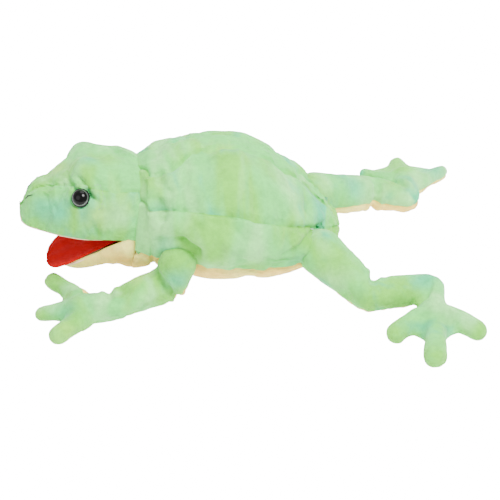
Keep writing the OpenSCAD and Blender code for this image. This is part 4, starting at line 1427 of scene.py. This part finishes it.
# ---- linings that the hand slides in, and the collar

liningCloth = clothMaterial("lining cloth", (214, 232, 204), 700.0, 0.35, 0.8, 0.1)
collarCloth = clothMaterial("collar cloth", (150, 208, 150), 700.0, 0.35, 0.85, 0.2)
handWay = {
    # place along the puppet, height, slope in degrees and radius of each ring of the sleeve
    "sleeve": [(60, 1.4, 90, 33.6), (60, 8, 91, 33.2), (60, 22, 95, 34), (52, 44, 125, 34.6),
        (30, 60, 160, 34), (8, 62, 178, 32), (-12, 62, 180, 31)],
    # place, half width, half height and middle of each ring of the pocket, from the fingertips back
    "pocket": [(-78.4, 16, 5.5, 3), (-77.2, 21.5, 9.0, 3), (-44.8, 30.1, 15, 6), (-9, 31, 18, 6),
        (18, 31, 24, 2), (45, 29.4, 29.4, 0)],
}


def sleeveGrid(grow):
    t = np.linspace(0, 2 * math.pi, 48, endpoint=False)
    rings = []
    for x, z, slope, r in smoothRows(handWay["sleeve"], 44):
        out = (r + grow) * np.sin(t)
        a = math.radians(slope)
        rings.append(np.stack([x - out * math.sin(a), (r + grow) * np.cos(t), z + out * math.cos(a)], 1) * mm)
    return np.array(rings)


def pocketGrid(grow):
    t = np.linspace(0, 2 * math.pi, 48, endpoint=False)
    rings = []
    for x, half, high, middle in smoothRows(handWay["pocket"], 40):
        rings.append(np.stack([np.full(48, x), (half + grow) * np.cos(t),
            middle + (high + grow) * np.sin(t)], 1) * mm)
    tip = rings[0]
    return np.array([tip.mean(0) + (tip - tip.mean(0)) * s for s in (0.05, 0.5)] + rings)


def wrinkled(grid, height, scale, seed):
    normals = gridNormals(grid, True).reshape(-1, 3)
    points = grid.reshape(-1, 3)
    return (points + normals * (height * wavy(points, scale, seed))[:, None]).reshape(grid.shape)


def liningPiece(name, node, grid, material, body):
    grid = refined(wrinkled(grid, 0.0009, 150, 61), 2, True)
    piece = newPiece(name, grid.reshape(-1, 3), gridFaces(*grid.shape[:2], True), material)
    withModifier(piece, "SOLIDIFY", thickness=0.0008, offset=0.0)
    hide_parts(node)
    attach(piece, body)


liningPiece("hand_sleeve_cloth", "hand_sleeve", sleeveGrid(0), liningCloth, "torso")
pocket = inHead(pocketGrid(0).reshape(-1, 3)).reshape(pocketGrid(0).shape)
liningPiece("finger_pocket_cloth", "finger_pocket", pocket, liningCloth, "head")


def collarGrid():
    t = np.linspace(0, 2 * math.pi, 60, endpoint=False)
    rings = []
    for a in np.radians(np.linspace(89, 33, 16)):
        ring = 0.0550 * np.stack([np.full(60, math.cos(a)), math.sin(a) * np.cos(t),
            math.sin(a) * np.sin(t)], 1)
        rings.append(inHead(ring))
    return np.array(rings)


liningPiece("neck_collar_cloth", "neck_collar", collarGrid(), collarCloth, "head")
print("linings made")


# ---- fillings: wadding a little smaller than the covers

def closedGrid(name, grid, ring, material):
    rows, columns = grid.shape[:2]
    points = np.concatenate([grid.reshape(-1, 3), grid[0].mean(0)[None], grid[-1].mean(0)[None]])
    count = rows * columns
    faces = [tuple(f) for f in gridFaces(rows, columns, ring)]
    for j in range(columns if ring else columns - 1):
        k = (j + 1) % columns
        faces.append((k, j, count))
        faces.append((count - columns + j, count - columns + k, count + 1))
    if not ring:
        for i in range(rows - 1):
            a, b = i * columns, (i + 1) * columns
            faces.append((a, b, b + columns - 1, a + columns - 1))
        faces.append((0, columns - 1, count))
        faces.append((count - 1, count - columns, count + 1))
    return newPiece(name, points, faces, material)


def insetGrid(grid, ring, depth, seed):
    normals = gridNormals(grid, ring).reshape(-1, 3)
    points = grid.reshape(-1, 3)
    lumps = depth + 0.0012 * (1 + wavy(points, 230, seed)) / 2
    return (points - normals * lumps[:, None]).reshape(grid.shape)


body = insetGrid(makeTorsoGrid()[0][9:-2:2], True, 0.0085, 71)
body[..., 2] = np.maximum(body[..., 2], 0.0065)
torsoFilling = closedGrid("torso_wadding", body, True, wadding)
openHole(torsoFilling, Vector((0.060, 0, 0)), 0.036)
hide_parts("torso_filling")
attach(torsoFilling, "torso")
skull = makeHeadGrid()[14:-5]
skull = skull.mean(1, keepdims=True) + (skull - skull.mean(1, keepdims=True)) * 0.8
skull[..., 2] = np.maximum(skull[..., 2], -0.006)
skullPoints = inHead(skull.reshape(-1, 3)).reshape(skull.shape)
headFilling = closedGrid("head_wadding", skullPoints, False, wadding)
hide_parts("head_filling")
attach(headFilling, "head")
print("fillings of the torso and the head made")


# ---- stitches

threadBlack = plainMaterial("black thread", linear((24, 24, 24)), 0.6)
threadGreen = plainMaterial("green thread", linear((120, 176, 118)), 0.7)


def makeStitchNodes():
    # turns the edges of a path into a row of short bar stitches lying along it
    tree = bpy.data.node_groups.new("row of stitches", "GeometryNodeTree")
    for label, kind in (("Path", "NodeSocketGeometry"), ("Spacing", "NodeSocketFloat"),
            ("Length", "NodeSocketFloat"),
                        ("Thickness", "NodeSocketFloat"), ("Thread", "NodeSocketMaterial")):
        tree.interface.new_socket(label, in_out="INPUT", socket_type=kind)
    tree.interface.new_socket("Stitches", in_out="OUTPUT", socket_type="NodeSocketGeometry")
    given, result = tree.nodes.new("NodeGroupInput"), tree.nodes.new("NodeGroupOutput")
    curve = addNode(tree, "GeometryNodeMeshToCurve", {0: given.outputs["Path"]})
    points = tree.nodes.new("GeometryNodeCurveToPoints")
    points.mode = "LENGTH"
    tree.links.new(curve.outputs[0], points.inputs["Curve"])
    tree.links.new(given.outputs["Spacing"], points.inputs["Length"])
    bar = addNode(tree, "GeometryNodeMeshCylinder",
        {"Radius": given.outputs["Thickness"], "Depth": given.outputs["Length"]}, Vertices=8)
    align = tree.nodes.new("FunctionNodeAlignRotationToVector")
    align.axis = "Z"
    tree.links.new(points.outputs["Tangent"], align.inputs["Vector"])
    placed = addNode(tree, "GeometryNodeInstanceOnPoints",
        {"Points": points.outputs[0], "Instance": bar.outputs[0],
        "Rotation": align.outputs[0]})
    real = addNode(tree, "GeometryNodeRealizeInstances", {0: placed.outputs[0]})
    painted = addNode(tree, "GeometryNodeSetMaterial",
        {"Geometry": real.outputs[0], "Material": given.outputs["Thread"]})
    tree.links.new(painted.outputs[0], result.inputs[0])
    return tree


stitchNodes = makeStitchNodes()


def stitchRow(name, path, body, spacing, length, thickness, thread, closed=False):
    mesh = bpy.data.meshes.new(name)
    edges = [(i, i + 1) for i in range(len(path) - 1)] + ([(len(path) - 1, 0)] if closed else [])
    mesh.from_pydata([tuple(p) for p in path], edges, [])
    row = bpy.data.objects.new(name, mesh)
    scene.collection.objects.link(row)
    modifier = row.modifiers.new("stitches", "NODES")
    modifier.node_group = stitchNodes
    values = {"Spacing": spacing, "Length": length, "Thickness": thickness, "Thread": thread}
    for item in stitchNodes.interface.items_tree:
        if item.in_out == "INPUT" and item.name in values:
            modifier[item.identifier] = values[item.name]
    seen = row.evaluated_get(bpy.context.evaluated_depsgraph_get())
    made = bpy.data.meshes.new_from_object(seen)
    row.modifiers.clear()
    row.data = made
    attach(row, body)
    return row


def onHead(pairs, lift):
    # points of the finished head cover nearest to places on its smooth outline
    cloud = headGrid.reshape(-1, 3)
    out = gridNormals(headGrid, False).reshape(-1, 3)
    result = []
    fine = smoothRows([(a, b, 0) for a, b in pairs], 24)[:, :2]
    for share, angle in fine:
        nearest = np.argmin(np.linalg.norm(cloud - headPoint(share, angle), axis=1))
        result.append(cloud[nearest] + out[nearest] * lift)
    return inHead(np.array(result))


for side, mirror in (("left", False), ("right", True)):
    def turnedPairs(pairs):
        return [(a, 180 - b) for a, b in pairs] if mirror else pairs
    lid = stitchRow(side + "_eyelid_stitches", onHead(turnedPairs([(0.612, 137), (0.64, 134), (0.672, 141),
        (0.688, 153), (0.672, 160)]), 0.0002),
        "head", 0.0034, 0.0019, 0.00035, threadGreen)
hem = np.array([(0.060 + 0.0365 * math.cos(a), 0.0365 * math.sin(a), 0.0008)
    for a in np.linspace(0, 2 * math.pi, 72, endpoint=False)])
stitchRow("opening_hem_stitches", hem, "torso", 0.0046, 0.0028, 0.00035, threadGreen, True)
for side, turn in (("left", 1), ("right", -1)):
    pairs = [(0.020, 90 + 22 * turn), (0.050, 90 + 28 * turn), (0.080, 90 + 32 * turn),
        (0.115, 90 + 34 * turn)]
    thread = tube(side + "_nostril_thread", onHead(pairs, 0.0005)[::3], 0.0006, threadBlack)
    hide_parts("nostril_stitches")
    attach(thread, "head")
print("stitches made")
